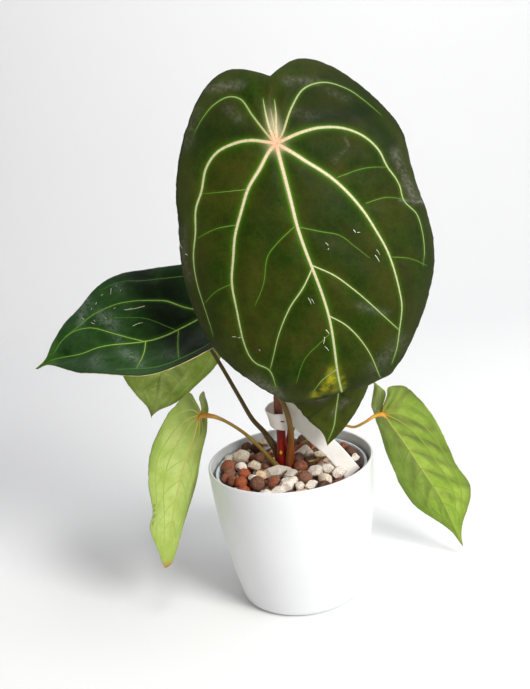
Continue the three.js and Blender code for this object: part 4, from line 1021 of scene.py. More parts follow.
def blade_half(leaf, veins, sign, grid, lift, outer):
    """One half of a blade: its skin as (points, faces, marks), the look of each face, and the middle between
    its two faces as (flat points, places, directions out of the upper face, squares)."""
    rows, columns = lift.shape
    flat = grid.reshape(-1, 2)
    u, v = flat.T
    glow, gap = vein_marks(flat, veins)
    share = np.tile(np.linspace(0, 1, columns), rows)
    bulge = leaf["quilt"] * (1 - np.exp(-(gap / 10) ** 2)) * (1 - share ** 6)
    lifted = lift.ravel() + bulge + stroked(leaf["folds"], flat, np.add)
    middle = hang_blade(leaf, u, v, lifted)
    across = hang_blade(leaf, u + NEAR, v, lifted) - hang_blade(leaf, u - NEAR, v, lifted)
    lengthwise = hang_blade(leaf, u, v + NEAR, lifted) - hang_blade(leaf, u, v - NEAR, lifted)
    up = unit(np.cross(lengthwise, across))
    index = np.arange(rows * columns).reshape(rows, columns)
    corners = [index[:-1, :-1], index[:-1, 1:], index[1:, 1:], index[1:, :-1]]
    squares = np.stack(corners, axis=-1).reshape(-1, 4)
    faces = np.concatenate([squares, squares + len(flat)]).tolist()
    looks = [0] * len(squares) + [1] * len(squares)
    points = [middle + up * BLADE_HALF, middle - up * BLADE_HALF]
    # the rounded edge: three lines of points between the last lines of the two faces
    rim = np.concatenate([index[leaf["lobe_rows"] * leaf["fine"]:0:-1, 0], index[:, -1]])
    away = unit(np.cross(up[rim], np.gradient(middle[rim], axis=0))) * -sign
    lines = [rim]
    for turn in np.radians((45, 0, -45)):
        lines.append(np.arange(len(rim)) + sum(map(len, points)))
        points.append(middle[rim] + (up[rim] * math.sin(turn) + away * math.cos(turn)) * BLADE_HALF)
    lines.append(rim + len(flat))
    for line, following in zip(lines, lines[1:]):
        strip_faces = np.column_stack([line[:-1], line[1:], following[1:], following[:-1]])
        faces += strip_faces.tolist()
        looks += [2] * len(strip_faces)
    from_margin = np.linalg.norm(grid - outer[:, None], axis=2).ravel()
    margin_width = 0.1 * leaf["right_margin"][-1][1] ** 0.9 + 1
    strengths = {
        "glow": glow, "edge": np.exp(-from_margin / margin_width), "tip": ease(leaf["tip_mark"], v),
        "star": near_star(flat, veins[0][0]), "blot": stroked(leaf["blots"], flat),
        "silver": stroked(leaf["silver"], flat), "shade": stroked(leaf["shades"], flat)}
    source = np.concatenate([index.ravel()] * 2 + [rim] * 3)
    shift = np.repeat((0, UNDER_SHIFT, 0), (len(flat), len(flat), 3 * len(rim)))
    marks = {"flat": np.column_stack([flat[source], shift])}
    marks.update({mark: strength[source] for mark, strength in strengths.items()})
    return (np.concatenate(points), faces, marks), looks, (flat, middle, up, squares)


def dress_leaf(name):
    """The blade of one leaf and the veins that stand on its two faces."""
    leaf, look = LEAVES[name], LOOKS[name]
    halves = [(sign, *half_grid(leaf, sign)) for sign in (-1, 1)]
    veins = VEINS.get(name) or ruled_veins(leaf, [outer for *_, outer in halves])
    shapes, looks, middles = zip(*(blade_half(leaf, veins, *half) for half in halves))
    points, faces, marks = join_shapes(shapes)
    materials = [velvet_blade(name + "_upper_face", look), leaf_underside(name + "_lower_face", look),
                 leaf_rim(name + "_margin", look["rim"])]
    blade = make_piece(name + "_blade", points, faces, materials, looks[0] + looks[1], marks)
    weld(blade)
    stand_in(blade, name)
    raise_veins(name, leaf, look, veins, ground_of(middles))


def ground_of(middles):
    """A function that gives the place over a flat point of the blade, at a height above its middle."""
    flats, places, ups = (np.concatenate([middle[k] for middle in middles]).tolist() for k in range(3))
    triangles, start = [], 0
    for flat, _, _, squares in middles:
        triangles += (squares[:, :3] + start).tolist() + (squares[:, [0, 2, 3]] + start).tolist()
        start += len(flat)
    corners = [Vector((u, v, 0)) for u, v in flats]
    ground = BVHTree.FromPolygons(corners, triangles)

    def over(u, v, height):
        spot, _, number, _ = ground.find_nearest((u, v, 0))
        corner = triangles[number]
        flat_corners = [corners[i] for i in corner]
        place = barycentric_transform(spot, *flat_corners, *(Vector(places[i]) for i in corner))
        up = barycentric_transform(spot, *flat_corners, *(Vector(ups[i]) for i in corner)).normalized()
        return place + up * height

    return over


def lay_ribs(piece_name, name, ribs, over, direction, rise, skin):
    """Low ribs, half sunk into one face of a blade. ribs are (start width, end width, paleness, flat
    points)."""
    section = [(-1, 0.0), (-0.6, 0.7), (0, 1.0), (0.6, 0.7), (1, 0.0), (0, -0.9)]
    shapes = []
    for first, final, pale, path in ribs:
        count = max(5, int(line_length(path) / VEIN_STEP))
        line = smooth_line(path, count, 2)
        run = unit(np.gradient(line, axis=0))
        across = np.column_stack([run[:, 1], -run[:, 0]])
        share = np.linspace(0, 1, count + 1)
        width = (first + (final - first) * share) * np.clip((1.02 - share) * 14, 0.1, 1) * RIB_SHARE
        points, side = [], []
        for (u, v), (du, dv), w in zip(line, across, width):
            tall = rise * (0.5 + 0.25 * w)
            for k, h in section:
                height = direction * (BLADE_HALF + tall * h - 0.05 * abs(k))
                points.append(over(u + du * k * w / 2, v + dv * k * w / 2, height))
                side.append(abs(k) if h >= 0 else 0)
        sides = len(section)
        from_heart = np.linalg.norm(line, axis=1)
        near_heart = 0.75 * np.exp(-(from_heart / 8) ** 2) + 0.25 * np.exp(-(from_heart / 28) ** 2)
        marks = {
            "flat": np.repeat(np.column_stack([line, np.zeros(len(line))]), sides, axis=0),
            "pale": np.repeat(pale * (1 - 0.45 * share ** 2), sides),
            "side": side,
            "heart": np.repeat(near_heart, sides) * 0.9,
        }
        shapes.append((np.array(points), skin_faces(len(line), sides), marks))
    points, faces, marks = join_shapes(shapes)
    piece = make_piece(piece_name, points, faces, [skin], marks=marks)
    weld(piece, 0.001)
    stand_in(piece, name)


def raise_veins(name, leaf, look, veins, over):
    """The veins that stand on the upper and the lower face of a blade, and its scratches."""
    above = vein_tissue(name + "_veins_above", look["rib"], look["faint"], look["heart"], 0.35)
    below = vein_tissue(name + "_veins_below", look["under_rib"], look["under"], look["heart"], 0.55)
    lay_ribs(name + "_veins_upper", name, veins, over, 1, 0.16, above)
    lay_ribs(name + "_veins_lower", name, veins, over, -1, 0.34, below)
    scuffs = []
    for u, v, run_u, run_v, width in leaf["scuffs"]:
        bend = (u + run_u / 2 + 0.3, v + run_v / 2)
        scuffs.append((width * 1.2, width * 0.7, 1, [(u, v), bend, (u + run_u, v + run_v)]))
    if scuffs:
        lay_ribs(name + "_scuffs", name, scuffs, over, 1, 0.08,
                 scuff_material(name + "_scuffed_skin", look["scuff"]))


for leaf_name in LEAVES:
    dress_leaf(leaf_name)


# Stalks: (x, y, z, radius) stations from the sheath in the crown to the leaf, and the swollen end's radius
STALKS = {
    "petiole_1": ("leaf_1", 3.4, [
        (-6.8, 4.5, 147, 4.6), (-6, 2.5, 170, 4.4), (-6.2, 0, 196, 3.9), (0.5, -1, 245, 3.4),
        (10.5, -4, 290, 3.2), (12.5, -10, 340, 3.1), (14, -22, 395, 3.1), (15, -38, 430, 3.4)]),
    "petiole_2": ("leaf_2", 2.6, [
        (1, -6, 149, 3), (3, -11, 163, 2.8), (2.8, -13.4, 179, 2.7), (0.6, -14, 194, 2.6),
        (-5.4, -11, 208, 2.5), (-14.6, -5.5, 213.5, 2.4), (-24, 14, 236, 2.4), (-29, 24, 266, 2.5)]),
    "petiole_3": ("leaf_3", 2.4, [
        (-16.3, 13.4, 151, 3), (-22.7, 17, 162, 2.6), (-32, 22, 173.5, 2.3), (-42.6, 29, 196, 2.1),
        (-54.2, 38, 221, 2), (-63.4, 44, 240, 2), (-74, 52, 262, 2.1)]),
    "petiole_4": ("leaf_4", 2.1, [
        (-17.5, -1.6, 137.5, 2.1), (-27.9, -5, 154.8, 1.8), (-40.6, -11, 173.2, 1.7),
        (-56.6, -19, 190.5, 1.6), (-66.5, -24, 198.3, 2)]),
    "petiole_5": ("leaf_5", 1.9, [
        (5, 10.8, 141.8, 1.7), (18.4, 11, 149.5, 1.4), (41.5, 9, 158.7, 1.3), (56, 6, 162.6, 1.3),
        (64.6, 3, 161.3, 1.3), (76, 1, 166, 1.4), (84, 3, 169.6, 1.7)]),
    "petiole_6": ("leaf_6", 1.6, [
        (-1, 18, 145.5, 1.8), (2.1, 25, 158, 1.6), (4.6, 34, 178, 1.5), (5, 38, 194, 1.4),
        (6.8, 40.5, 205, 1.5)]),
}
STALK_COLORS = {
    "petiole_1": [(0.0, "#a81c14"), (0.07, "#8e2216"), (0.13, "#80341c"), (0.22, "#86532e"),
                  (0.6, "#72532f"), (1.0, "#6a5434")],
    "petiole_2": [(0.0, "#8c4c1c"), (0.14, "#80561c"), (0.3, "#786028"), (1.0, "#7c6a2e")],
    "petiole_3": [(0.0, "#5e461a"), (0.15, "#6a5222"), (0.6, "#6a582e"), (1.0, "#726436")],
    "petiole_4": [(0.0, "#7a622c"), (0.3, "#8c7430"), (0.75, "#a08436"), (0.86, "#b9822f"),
                  (1.0, "#c08a34")],
    "petiole_5": [(0.0, "#b0604a"), (0.15, "#a58a3e"), (0.7, "#b4923c"), (0.85, "#d29a3a"),
                  (1.0, "#d8a044")],
    "petiole_6": [(0.0, "#8f1c2c"), (0.6, "#b02a48"), (1.0, "#8a5a40")],
}


def stalk_end(leaf, radius, last):
    """The stalk's last stations: it comes to the blade from its last station, and its own firm tissue runs
    on as the first stretch of the midrib, under the blade."""
    along, _, out = blade_frame(leaf)
    arch = math.radians(float(ease(leaf["arch"], 0)))
    under = -(out * math.cos(arch) + along * math.sin(arch))
    centre, further = hang_blade(leaf, np.zeros(2), np.array((0, RUNS_ON)), np.zeros(2))
    before = centre + unit(np.array(last[:3]) - centre + under * 2) * 1.6 * radius
    return [(*before, radius), (*(centre + under * radius * 0.9), radius * 0.95),
            (*(further + under * radius * 0.5), radius * 0.55)]


def tube(stations, rings, sides, groove=0.0, swell=()):
    """A round stalk along (x, y, z, radius) stations. groove flattens one side by that share, and swell is
    (share of the length, added radius, half width in shares)."""
    line = smooth_line(stations, rings)
    share = np.linspace(0, 1, rings + 1)
    radius = line[:, 3].copy()
    for centre, added, half in swell:
        radius += added * np.exp(-((share - centre) / half) ** 2)
    _, across, up = carried_frames(line[:, :3])
    angles = np.arange(sides) * 2 * math.pi / sides
    profile = 1 - groove * np.exp(-((angles - math.pi / 2) / 0.5) ** 2)
    ring = radius[:, None] * profile
    points = (line[:, None, :3] + across[:, None] * (ring * np.cos(angles))[..., None]
              + up[:, None] * (ring * np.sin(angles))[..., None]).reshape(-1, 3)
    length = line_length(line[:, :3])
    # the streaks' own space: a round rod, much shorter than the stalk, so that they run lengthwise
    wrap = np.column_stack([np.tile(np.cos(angles) * 3, rings + 1), np.tile(np.sin(angles) * 3, rings + 1),
                            np.repeat(share * length / 9, sides)])
    marks = {"along": np.repeat(share, sides), "wrap": wrap}
    return points, skin_faces(rings + 1, sides), marks


def dress_stalk(name):
    """A leaf's stalk, from inside its sheath to the midrib, swollen just under the blade."""
    leaf_name, end, stations = STALKS[name]
    leaf = LEAVES[leaf_name]
    path = list(stations) + stalk_end(leaf, end, stations[-1])
    first, second = np.array(path[0][:3]), np.array(path[1][:3])
    rooted = first - unit(second - first) * ROOTED
    path = [(*rooted, path[0][3] + 0.4)] + path
    length = line_length([p[:3] for p in path])
    swell = [(1 - 9 / length, end * 0.18, 7 / length)]
    points, faces, marks = tube(path, max(40, int(length / 2.2)), STALK_SIDES, groove=0.1, swell=swell)
    stalk = make_piece(name + "_stalk", points, faces, [stalk_skin(name + "_skin", STALK_COLORS[name])],
                       marks=marks)
    stand_in(stalk, name)


for stalk_name in STALKS:
    dress_stalk(stalk_name)


BUD = [(-8.2, 0.6, 142.5, 0.7), (-8.5, -0.8, 145, 1.7), (-8.6, -1, 147.5, 0.5)]


def dress_crown():
    """The short root stock, with the swollen sheath of each stalk and one small bud."""
    x, y = CROWN_AT
    stock = [(x, y, CROWN_FOOT, CROWN_RADIUS - 2.5), (x, y, CROWN_FOOT + 8, CROWN_RADIUS),
             (x, y, 120, CROWN_RADIUS), (x, y, 133, CROWN_RADIUS - 2)]
    shapes = [tinted(tube(stock, 24, 24), linear("#7c1014"))]
    for stalk, (_, _, stations) in STALKS.items():
        first, second = np.array(stations[0][:3]), np.array(stations[1][:3])
        direction = unit(second - first)
        top = first - direction * (GAP + 0.15)
        below = top - direction * 7
        radius = stations[0][3]
        inside = first + direction * 12
        sheath = [(x + 0.2 * (top[0] - x), y + 0.2 * (top[1] - y), 114, radius + 1.4),
                  (*below, radius + 1.1), (*top, radius + 0.7), (*inside, radius - 0.4)]
        shapes.append(tinted(tube(sheath, 30, 18), linear(STALK_COLORS[stalk][0][1])))
    shapes.append(tinted(tube(BUD, 10, 14), linear("#d8a418")))
    points, faces, marks = join_shapes(shapes)
    stand_in(make_piece("crown_stock", points, faces, [crown_skin()], marks=marks), "crown")


dress_crown()


# Pot and liner

def pot_radius(height):
    t = height / POT_HEIGHT
    return POT_FOOT_RADIUS + (POT_RIM_RADIUS - POT_FOOT_RADIUS) * t + POT_BELLY * 4 * t * (1 - t)


def liner_radius(height):
    t = (height - POT_FLOOR) / (LINER_TOP - POT_FLOOR)
    return LINER_FOOT_RADIUS + (LINER_RIM_RADIUS - LINER_FOOT_RADIUS) * t


def dress_pot():
    """The cover pot: a turned shell with a moulded ring underneath, a rounded foot and a thin lip."""
    outline = [(0, 0), (20, 0), (GROOVE_RADIUS - GROOVE_WIDTH / 2, 0)]
    for t in (0.2, 0.4, 0.6, 0.8):
        outline.append((GROOVE_RADIUS + GROOVE_WIDTH * (t - 0.5), GROOVE_DEPTH * math.sin(math.pi * t)))
    outline.append((GROOVE_RADIUS + GROOVE_WIDTH / 2, 0))
    corner = pot_radius(FOOT_ROUNDING)
    for angle in np.radians(np.arange(-90, -5, 8)):
        outline.append((corner - FOOT_ROUNDING * (1 - math.cos(angle)),
                        FOOT_ROUNDING * (1 + math.sin(angle))))
    lip_start = POT_HEIGHT - LIP_ROUNDING - 1
    outline += [(pot_radius(height), height) for height in np.linspace(FOOT_ROUNDING, lip_start, 28)]
    lip = POT_RIM_RADIUS - POT_WALL / 2, POT_HEIGHT - LIP_ROUNDING
    for angle in np.radians(np.arange(0, 181, 18)):
        outline.append((lip[0] + LIP_ROUNDING * math.cos(angle), lip[1] + LIP_ROUNDING * math.sin(angle)))
    for height in np.linspace(lip_start, POT_FLOOR + POT_CORNER + 1, 24):
        outline.append((pot_radius(height) - POT_WALL, height))
    inner = pot_radius(POT_FLOOR) - POT_WALL
    for angle in np.radians(np.arange(0, 91, 15)):
        outline.append((inner - POT_CORNER * (1 - math.cos(angle)),
                        POT_FLOOR + POT_CORNER * (1 - math.sin(angle))))
    outline.append((0, POT_FLOOR))
    points, faces = turned(outline, 160)
    stand_in(make_piece("cover_pot_shell", points, faces, [pot_material()]), "cover_pot")


def dress_liner():
    """The nursery liner: a thin turned cup with a flange, shallow ribs under it and drain holes."""
    foot = POT_FLOOR + GAP

    def ribbed(radius, height, angles):
        near_band = max(0, 1 - abs(height - LINER_RIB_HEIGHT) / LINER_RIB_BAND)
        return radius + LINER_RIB_DEPTH * near_band * np.cos(angles * LINER_RIBS)

    outline = [(0, foot), (LINER_FOOT_RADIUS - 3, foot), (liner_radius(foot + 3), foot + 3)]
    outline += [(liner_radius(height), height) for height in np.linspace(10, LINER_TOP - 4, 30)]
    outline += [(LINER_RIM_RADIUS + LINER_FLANGE - 0.2, LINER_TOP - 3.4),
                (LINER_RIM_RADIUS + LINER_FLANGE, LINER_TOP - 0.6),
                (LINER_RIM_RADIUS + LINER_FLANGE / 2, LINER_TOP)]
    outline.append((liner_radius(LINER_TOP) - LINER_WALL, LINER_TOP))
    outline += [(liner_radius(height) - LINER_WALL, height) for height in np.linspace(LINER_TOP - 2, 10, 30)]
    outline += [(LINER_FOOT_RADIUS - 4.5, foot + LINER_WALL), (0, foot + LINER_WALL)]
    points, faces = turned(outline, 144, ribbed)
    liner = make_piece("nursery_liner_shell", points, faces, [liner_material()])
    cutters = []
    for turn in np.arange(DRAIN_HOLE_COUNT) * 2 * math.pi / DRAIN_HOLE_COUNT:
        middle = np.array([math.cos(turn), math.sin(turn), 0]) * DRAIN_RING_RADIUS
        rod_points, rod_faces = turned([(0, foot - 2), (DRAIN_HOLE_RADIUS, foot - 2),
                                        (DRAIN_HOLE_RADIUS, foot + 4), (0, foot + 4)], 24)
        cutters.append(make_piece("drain_cutter", rod_points + middle, rod_faces, []))
        cut = liner.modifiers.new("drain", "BOOLEAN")
        cut.operation = "DIFFERENCE"
        cut.object = cutters[-1]
    settle(liner)
    for cutter in cutters:
        bpy.data.objects.remove(cutter)
    stand_in(liner, "nursery_liner")


dress_pot()
dress_liner()


# The filling. The stones that show most are listed as (x, y, z, radius, lengthening, colour), and a rule
# places the rest.
CLAY_COLORS = {"brick": "#8e5038", "orange": "#ac5430", "mauve": "#845c48", "dark": "#5a3c2e"}
PUMICE_COLORS = {"white": "#fdf3ea", "cream": "#f6e6d2", "grey": "#d2c9c0", "tan": "#e8c8a4",
                 "beige": "#e0ccb4"}
SHOWN_RISE = 2.2              # how far the stones that show most stand out of the others
SHOWN_GROWTH = 1.07
STONE_SEED = 4882
LOWER_PITCH = (11, 9.5)       # columns and rows of the stones below the top ones
LOWER_PUMICE = 0.35           # share of pumice among them
BED_TOP = SOIL_TOP - 4.5
SHOWN_CLAY = [
    (-61, 14, 128, 6.8, 1.0, "brick"), (-60, 0, 127, 5.4, 1.0, "mauve"), (-46, -6, 127, 5.6, 1.0, "orange"),
    (-64, -8, 126, 4.4, 1.0, "brick"), (-57, -16, 126, 4.8, 1.0, "brick"),
    (-49, -22, 126, 5.6, 1.0, "orange"), (-42, 50, 131, 5.6, 1.0, "dark"),
    (-32, 47, 131, 5.8, 1.0, "dark"), (-34, -28, 126, 6.7, 1.0, "mauve"),
    (-18, -31, 126, 6.3, 1.0, "brick"), (-23, 6, 128, 5.4, 1.0, "mauve"), (-29, 24, 129, 5.8, 1.0, "mauve"),
    (11, -30, 127, 6.7, 1.0, "mauve"), (9, -6, 128, 6.5, 1.0, "brick"), (8, 12, 129, 6.0, 1.0, "mauve"),
    (16, 50, 131, 6.8, 1.0, "dark"), (19, 5, 127, 5.8, 1.0, "dark"), (25, 35, 131, 3.6, 1.0, "orange"),
    (33, 30, 130, 5.0, 1.0, "dark"), (60, 16, 129, 5.2, 1.0, "dark"), (54, 26, 131, 4.0, 1.0, "brick"),
]
SHOWN_PUMICE = [
    (-58, 31, 128, 5.6, 1.1, "white"), (-48, 29, 130, 7.0, 1.15, "cream"), (-24, 60, 131, 5.6, 1.2, "beige"),
    (-48, 9, 128, 5.0, 1.2, "white"), (-35, 11, 128, 6.0, 1.05, "cream"), (-30, -12, 127, 4.8, 1.1, "tan"),
    (-38, -15, 127, 3.4, 1.1, "white"), (-14, -10, 128, 6.6, 1.7, "grey"), (-2, -20, 127, 5.0, 1.4, "grey"),
    (-5, -38, 127, 7.0, 1.3, "white"), (16, 24, 130, 7.2, 1.05, "grey"), (29, 12, 130, 5.2, 1.1, "beige"),
    (22, -20, 127, 6.4, 1.1, "grey"), (36, -15, 128, 6.0, 1.05, "white"), (45, -26, 127, 6.0, 1.1, "white"),
    (31, -37, 126, 6.2, 1.3, "cream"), (16, -45, 126, 4.4, 1.2, "white"), (5, -44, 126, 4.2, 1.2, "white"),
    (62, 0, 129, 4.0, 1.1, "white"),
]


def seeded(seed):
    """Repeatable random numbers from 0 to 1."""
    state = seed
    while True:
        state = state * 16807 % 2147483647
        yield state / 2147483647


def ball_points(detail):
    """Points and faces of a ball of radius 1."""
    shape = bmesh.new()
    bmesh.ops.create_icosphere(shape, subdivisions=detail, radius=1)
    points = np.array([v.co[:] for v in shape.verts])
    faces = [tuple(v.index for v in face.verts) for face in shape.faces]
    shape.free()
    return points, faces


BALLS = {detail: ball_points(detail) for detail in (3, 4, 5)}


def stone_shape(place, radius, longer, angular, color, draw, detail):
    """One clay ball, nearly round, or one lump of pumice, broken flat on several sides and pitted."""
    unit_points, faces = BALLS[detail]
    points = unit_points.copy()
    seed = Vector((next(draw), next(draw), next(draw))) * 90
    if angular:
        for _ in range(11):
            direction = unit([next(draw) - 0.5, next(draw) - 0.5, next(draw) - 0.5])
            reach = 0.6 + 0.26 * next(draw)
            points -= direction * np.maximum(points @ direction - reach, 0)[:, None] * 0.97
        rough = [noise.fractal(Vector(p) * 2.2 + seed, 0.8, 2.0, 5) for p in unit_points.tolist()]
        points *= (1.18 + 0.05 * np.array(rough))[:, None]
        points *= (longer, 0.95, 0.82)
    else:
        rough = [noise.noise(Vector(p) * 1.3 + seed) + 0.25 * noise.noise(Vector(p) * 5 + seed)
                 for p in unit_points.tolist()]
        points *= (1 + 0.06 * np.array(rough))[:, None]
    turn = next(draw) * math.pi if longer < 1.5 else 0.2
    tip = (next(draw) - 0.5) * (0.7 if angular else 6)
    spin = np.array(Matrix.Rotation(turn, 3, "Z") @ Matrix.Rotation(tip, 3, "X"))
    points = points @ spin.T * radius + place
    shade = (0.98 if angular else 0.84) + (0.12 if angular else 0.34) * next(draw)
    return tinted((points, faces, {}), np.array(linear(color)) * shade)


def hidden_stones(draw):
    """Places of the other loose stones: a jittered triangular grid that skips the crown, the label's end and
    the listed stones."""
    shown = [(x, y, r * longer) for x, y, _, r, longer, _ in SHOWN_CLAY + SHOWN_PUMICE]
    row_pitch = STONE_PITCH * math.sqrt(0.75)
    for row in range(-5, 6):
        for column in range(-5, 6):
            x = (column + (0.5 if row % 2 else 0)) * STONE_PITCH + (next(draw) - 0.5) * 2 * STONE_JITTER
            y = row * row_pitch + (next(draw) - 0.5) * 2 * STONE_JITTER
            radius = STONE_LEAST + STONE_SPREAD * next(draw)
            rise = STONE_RISE * next(draw)
            angular = next(draw) < PUMICE_SHARE[1 if x > 0 else 0]
            if math.hypot(x, y) + radius > STONE_FIELD + 1:
                continue
            if math.hypot(x - CROWN_AT[0], y - CROWN_AT[1]) < CROWN_RADIUS + radius + 2:
                continue
            if math.hypot(x - LABEL_FOOT[0], y - LABEL_FOOT[1]) < radius + 8:
                continue
            if any(math.hypot(x - sx, y - sy) < (radius + sr) * 0.8 for sx, sy, sr in shown):
                continue
            yield (x, y, SOIL_TOP + 2 + rise), radius, angular


def picked_color(draw, angular):
    colors = list((PUMICE_COLORS if angular else CLAY_COLORS).values())
    return colors[int(next(draw) * len(colors))]


def dress_stones():
    """The loose stones: those listed one by one, then those placed by rule, then a layer that fills the gaps
    from below."""
    draw = seeded(STONE_SEED)
    clay, pumice = [], []
    for shown, found, angular, colors in ((SHOWN_CLAY, clay, False, CLAY_COLORS),
                                          (SHOWN_PUMICE, pumice, True, PUMICE_COLORS)):
        for x, y, z, radius, longer, color in shown:
            place = (x, y, z + SHOWN_RISE)
            found.append(stone_shape(place, radius * SHOWN_GROWTH, longer, angular, colors[color], draw, 5))
    for place, radius, angular in hidden_stones(seeded(STONE_SEED)):
        color = picked_color(draw, angular)
        found = pumice if angular else clay
        found.append(stone_shape(place, radius, 1.1 if angular else 1, angular, color, draw, 4))
    for row in range(-6, 7):
        for column in range(-6, 7):
            x, y = (column + 0.5 * (row % 2) + 0.3) * LOWER_PITCH[0], row * LOWER_PITCH[1] + 3
            if math.hypot(x, y) > STONE_FIELD - 4 or math.hypot(x - CROWN_AT[0], y - CROWN_AT[1]) < 12:
                continue
            angular = next(draw) < LOWER_PUMICE
            color = picked_color(draw, angular)
            place = (x + 2 * next(draw), y + 2 * next(draw), SOIL_TOP - 3 + 2 * next(draw))
            radius = 4.8 + next(draw)
            found = pumice if angular else clay
            found.append(stone_shape(place, radius, 1.1 if angular else 1, angular, color, draw, 3))
    for name, found, material in (("clay_balls", clay, clay_material()),
                                  ("pumice_lumps", pumice, pumice_material())):
        points, faces, marks = join_shapes(found)
        stand_in(make_piece(name, points, faces, [material], marks=marks), "substrate")


def dress_bed():
    """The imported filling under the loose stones."""
    floor = POT_FLOOR + GAP + LINER_WALL + GAP

    def inside(height):
        return liner_radius(height) - LINER_WALL - GAP

    outline = [(0, floor), (LINER_FOOT_RADIUS - 6, floor), (inside(floor + 5), floor + 5)]
    outline += [(inside(height), height) for height in np.linspace(14, SOIL_TOP - 6, 24)]
    outline += [(radius, BED_TOP) for radius in (68, 62, 54, 46, 38, 30, 22, 14, 7, 0)]
    points, faces = turned(outline, 96)
    stand_in(make_piece("packed_filling", points, faces, [filling_material()]), "substrate")


def strip(stations, widest, thickness, steps=24):
    """A thin curled scrap along (x, y, z) stations, pointed at both ends."""
    line = smooth_line(stations, steps)
    _, across, up = carried_frames(line)
    share = np.linspace(0, 1, steps + 1)
    width = widest / 2 * np.sin(np.pi * np.clip(share, 0.04, 0.96)) ** 0.7
    section = [(-1, 0.3), (-0.5, 0), (0, -0.15), (0.5, 0), (1, 0.3), (0.5, -0.5), (0, -0.65), (-0.5, -0.5)]
    points = [line + across * (k * width)[:, None] + up * (h * thickness) for k, h in section]
    return np.stack(points, axis=1).reshape(-1, 3), skin_faces(steps + 1, len(section)), {}


def dress_scraps():
    """Small dry things among the stones: a piece of dead leaf, roots, a green crumb and a dry fibre."""
    scraps = [
        ("#c9c46a", 3.6, [(17, -3, 134), (24, -2, 133.5), (31, 0, 134.5), (37, 3, 134)]),
        ("#b5793f", 1.6, [(14, 14, 134), (21, 20, 136), (27, 27, 136.5)]),
        ("#b08a58", 3.0, [(-24, 18, 133), (-18, 24, 134), (-14, 30, 133)]),
        ("#5f8a5c", 3.2, [(-42, 38, 133), (-40, 40, 134.5), (-38, 42, 133)]),
        ("#8a6238", 1.4, [(-56, 42, 131), (-51, 48, 134), (-45, 47, 134)]),
        ("#c08a62", 2.2, [(3, -27, 131), (7, -21, 132), (9, -17, 131)]),
        ("#7a5636", 1.2, [(24, 16, 133), (33, 20, 133), (40, 20, 131)]),
        ("#a58a6a", 1.0, [(-20, -20, 131), (-8, -28, 133), (2, -30, 131)]),
    ]
    shapes = []
    for color, widest, stations in scraps:
        shapes.append(tinted(strip(stations, widest, 0.5), linear(color)))
    points, faces, marks = join_shapes(shapes)
    stand_in(make_piece("dry_scraps", points, faces, [dry_leaf_material()], marks=marks), "substrate")


dress_stones()
dress_bed()
dress_scraps()


# The label: (place, direction of its width) stations from its slotted head round stalk 1 to its tail
LABEL_STATIONS = [
    ((1.5, -6, 177), (0.1, -0.1, 1)), ((-4, -7, 178.5), (0.1, -0.1, 1)), ((-12, -6, 180), (-0.1, -0.2, 1)),
    ((-16.8, 1, 182), (-0.2, 0, 1)), ((-13, 9, 184.5), (0, 0.1, 1)), ((-5, 11, 185.5), (0.2, 0.1, 1)),
    ((5, 6, 182.5), (0.5, 0.15, 0.9)), ((12, 0, 177), (0.7, 0.15, 0.7)), ((26, -7, 162), (0.78, 0.15, 0.6)),
    ((41.4, -14, 146), (0.84, 0.15, 0.5)), ((57.5, -24, 125), (0.88, 0.25, 0.35)),
]
LABEL_SLOT = (0.02, 0.05)     # the slot's place along the label, as shares of its length
LABEL_ROWS = 12
LABEL_SLOT_ROW = 6            # and across it, as one of its rows


def dress_label():
    """The plant label: a strip bent round stalk 1, with a slot in its head."""
    path = smooth_line([(*place, *unit(across)) for place, across in LABEL_STATIONS], 150)
    line, widths = path[:, :3], path[:, 3:]
    along = unit(np.gradient(line, axis=0))
    across = unit(widths - along * (widths * along).sum(1)[:, None])
    shares = np.linspace(-0.5, 0.5, LABEL_ROWS + 1)
    points = (line[:, None] + across[:, None] * (shares * LABEL_WIDTH)[None, :, None]).reshape(-1, 3)
    faces = []
    for i in range(len(line) - 1):
        in_slot = LABEL_SLOT[0] < i / (len(line) - 1) < LABEL_SLOT[1]
        for k in range(LABEL_ROWS):
            if in_slot and k == LABEL_SLOT_ROW:
                continue
            a = i * len(shares) + k
            faces.append((a, a + 1, a + 1 + len(shares), a + len(shares)))
    label = make_piece("plant_label_strip", points, faces, [label_material()])
    thick = label.modifiers.new("sheet", "SOLIDIFY")
    thick.thickness = LABEL_THICKNESS * MM
    thick.offset = 0
    settle(label)
    stand_in(label, "plant_label")


dress_label()


# Studio
STUDIO_FRONT = -2600
STUDIO_SIDE = 4500
STUDIO_BEND = 900             # where the sweep starts to rise, and the radius of its bend
STUDIO_HEIGHT = 4200


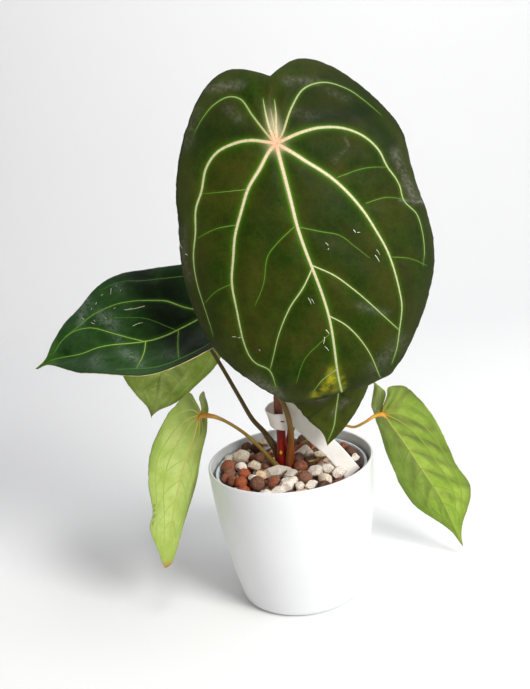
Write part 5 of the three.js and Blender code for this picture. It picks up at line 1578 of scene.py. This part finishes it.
def studio():
    """A pale sweep of painted board that rises at the back, soft light from all round and four lamps."""
    board = new_material("painted_board_pale")
    color = coated(board, "#f4f5f7", [(mottle(board, body_place(board), 400, 0.0, 1.0), "#f1f2f4")])
    finish_surface(board, {"Base Color": color, "Roughness": 0.6})
    profile = [(STUDIO_FRONT, 0), (STUDIO_BEND, 0)]
    for angle in np.radians(np.arange(10, 91, 10)):
        profile.append((STUDIO_BEND * (1 + math.sin(angle)), STUDIO_BEND * (1 - math.cos(angle))))
    profile.append((2 * STUDIO_BEND, STUDIO_HEIGHT))
    points, faces = [], []
    for y, z in profile:
        points += [(-STUDIO_SIDE, y, z), (STUDIO_SIDE, y, z)]
    for i in range(len(profile) - 1):
        faces.append((2 * i, 2 * i + 1, 2 * i + 3, 2 * i + 2))
    floor = make_piece("studio_floor", points, faces, [board])
    world = bpy.data.worlds.new("soft_room")
    world.use_nodes = True
    world.node_tree.nodes["Background"].inputs["Color"].default_value = linear("#f6f6f8")
    world.node_tree.nodes["Background"].inputs["Strength"].default_value = 0.3
    bpy.context.scene.world = world
    for name, place, aim, size, power, color in (
            ("window_light", (1200, -1420, 1250), (0, 0, 260), 950, 46, "#fffdf8"),
            ("fill_light", (-1500, -1100, 900), (0, 0, 260), 1600, 3, "#ffe9d2"),
            ("top_light", (300, -500, 1900), (0, 0, 130), 700, 8, "#ffffff"),
            ("sweep_light", (500, 300, 2200), (1100, 1900, 500), 1400, 12, "#ffffff")):
        light = bpy.data.lights.new(name, "AREA")
        light.shape = "DISK"
        light.size = size * MM
        light.energy = power
        light.color = linear(color)[:3]
        lamp = bpy.data.objects.new(name, light)
        lamp.location = Vector(place) * MM
        lamp.rotation_euler = (Vector(aim) * MM - lamp.location).to_track_quat("-Z", "Y").to_euler()
        bpy.context.scene.collection.objects.link(lamp)


def camera():
    """A camera that sees the plant as the photo does. It was fitted to the pot's rim, sides and foot."""
    pitch, roll = math.radians(CAMERA_PITCH), math.radians(CAMERA_ROLL)
    ahead = Vector((0, math.cos(pitch), -math.sin(pitch)))
    level = Vector((1, 0, 0))
    up = level.cross(ahead)
    x_axis = math.cos(roll) * level - math.sin(roll) * up
    y_axis = math.sin(roll) * level + math.cos(roll) * up
    data = bpy.data.cameras.new("camera")
    data.lens = CAMERA_LENS
    data.clip_end = 30
    eye = bpy.data.objects.new("camera", data)
    eye.matrix_world = Matrix.Translation(Vector(CAMERA_AT) * MM) @ Matrix(
        (x_axis, y_axis, -ahead)).transposed().to_4x4()
    bpy.context.scene.collection.objects.link(eye)
    bpy.context.scene.camera = eye


studio()
camera()
bpy.context.scene.view_settings.view_transform = "Standard"
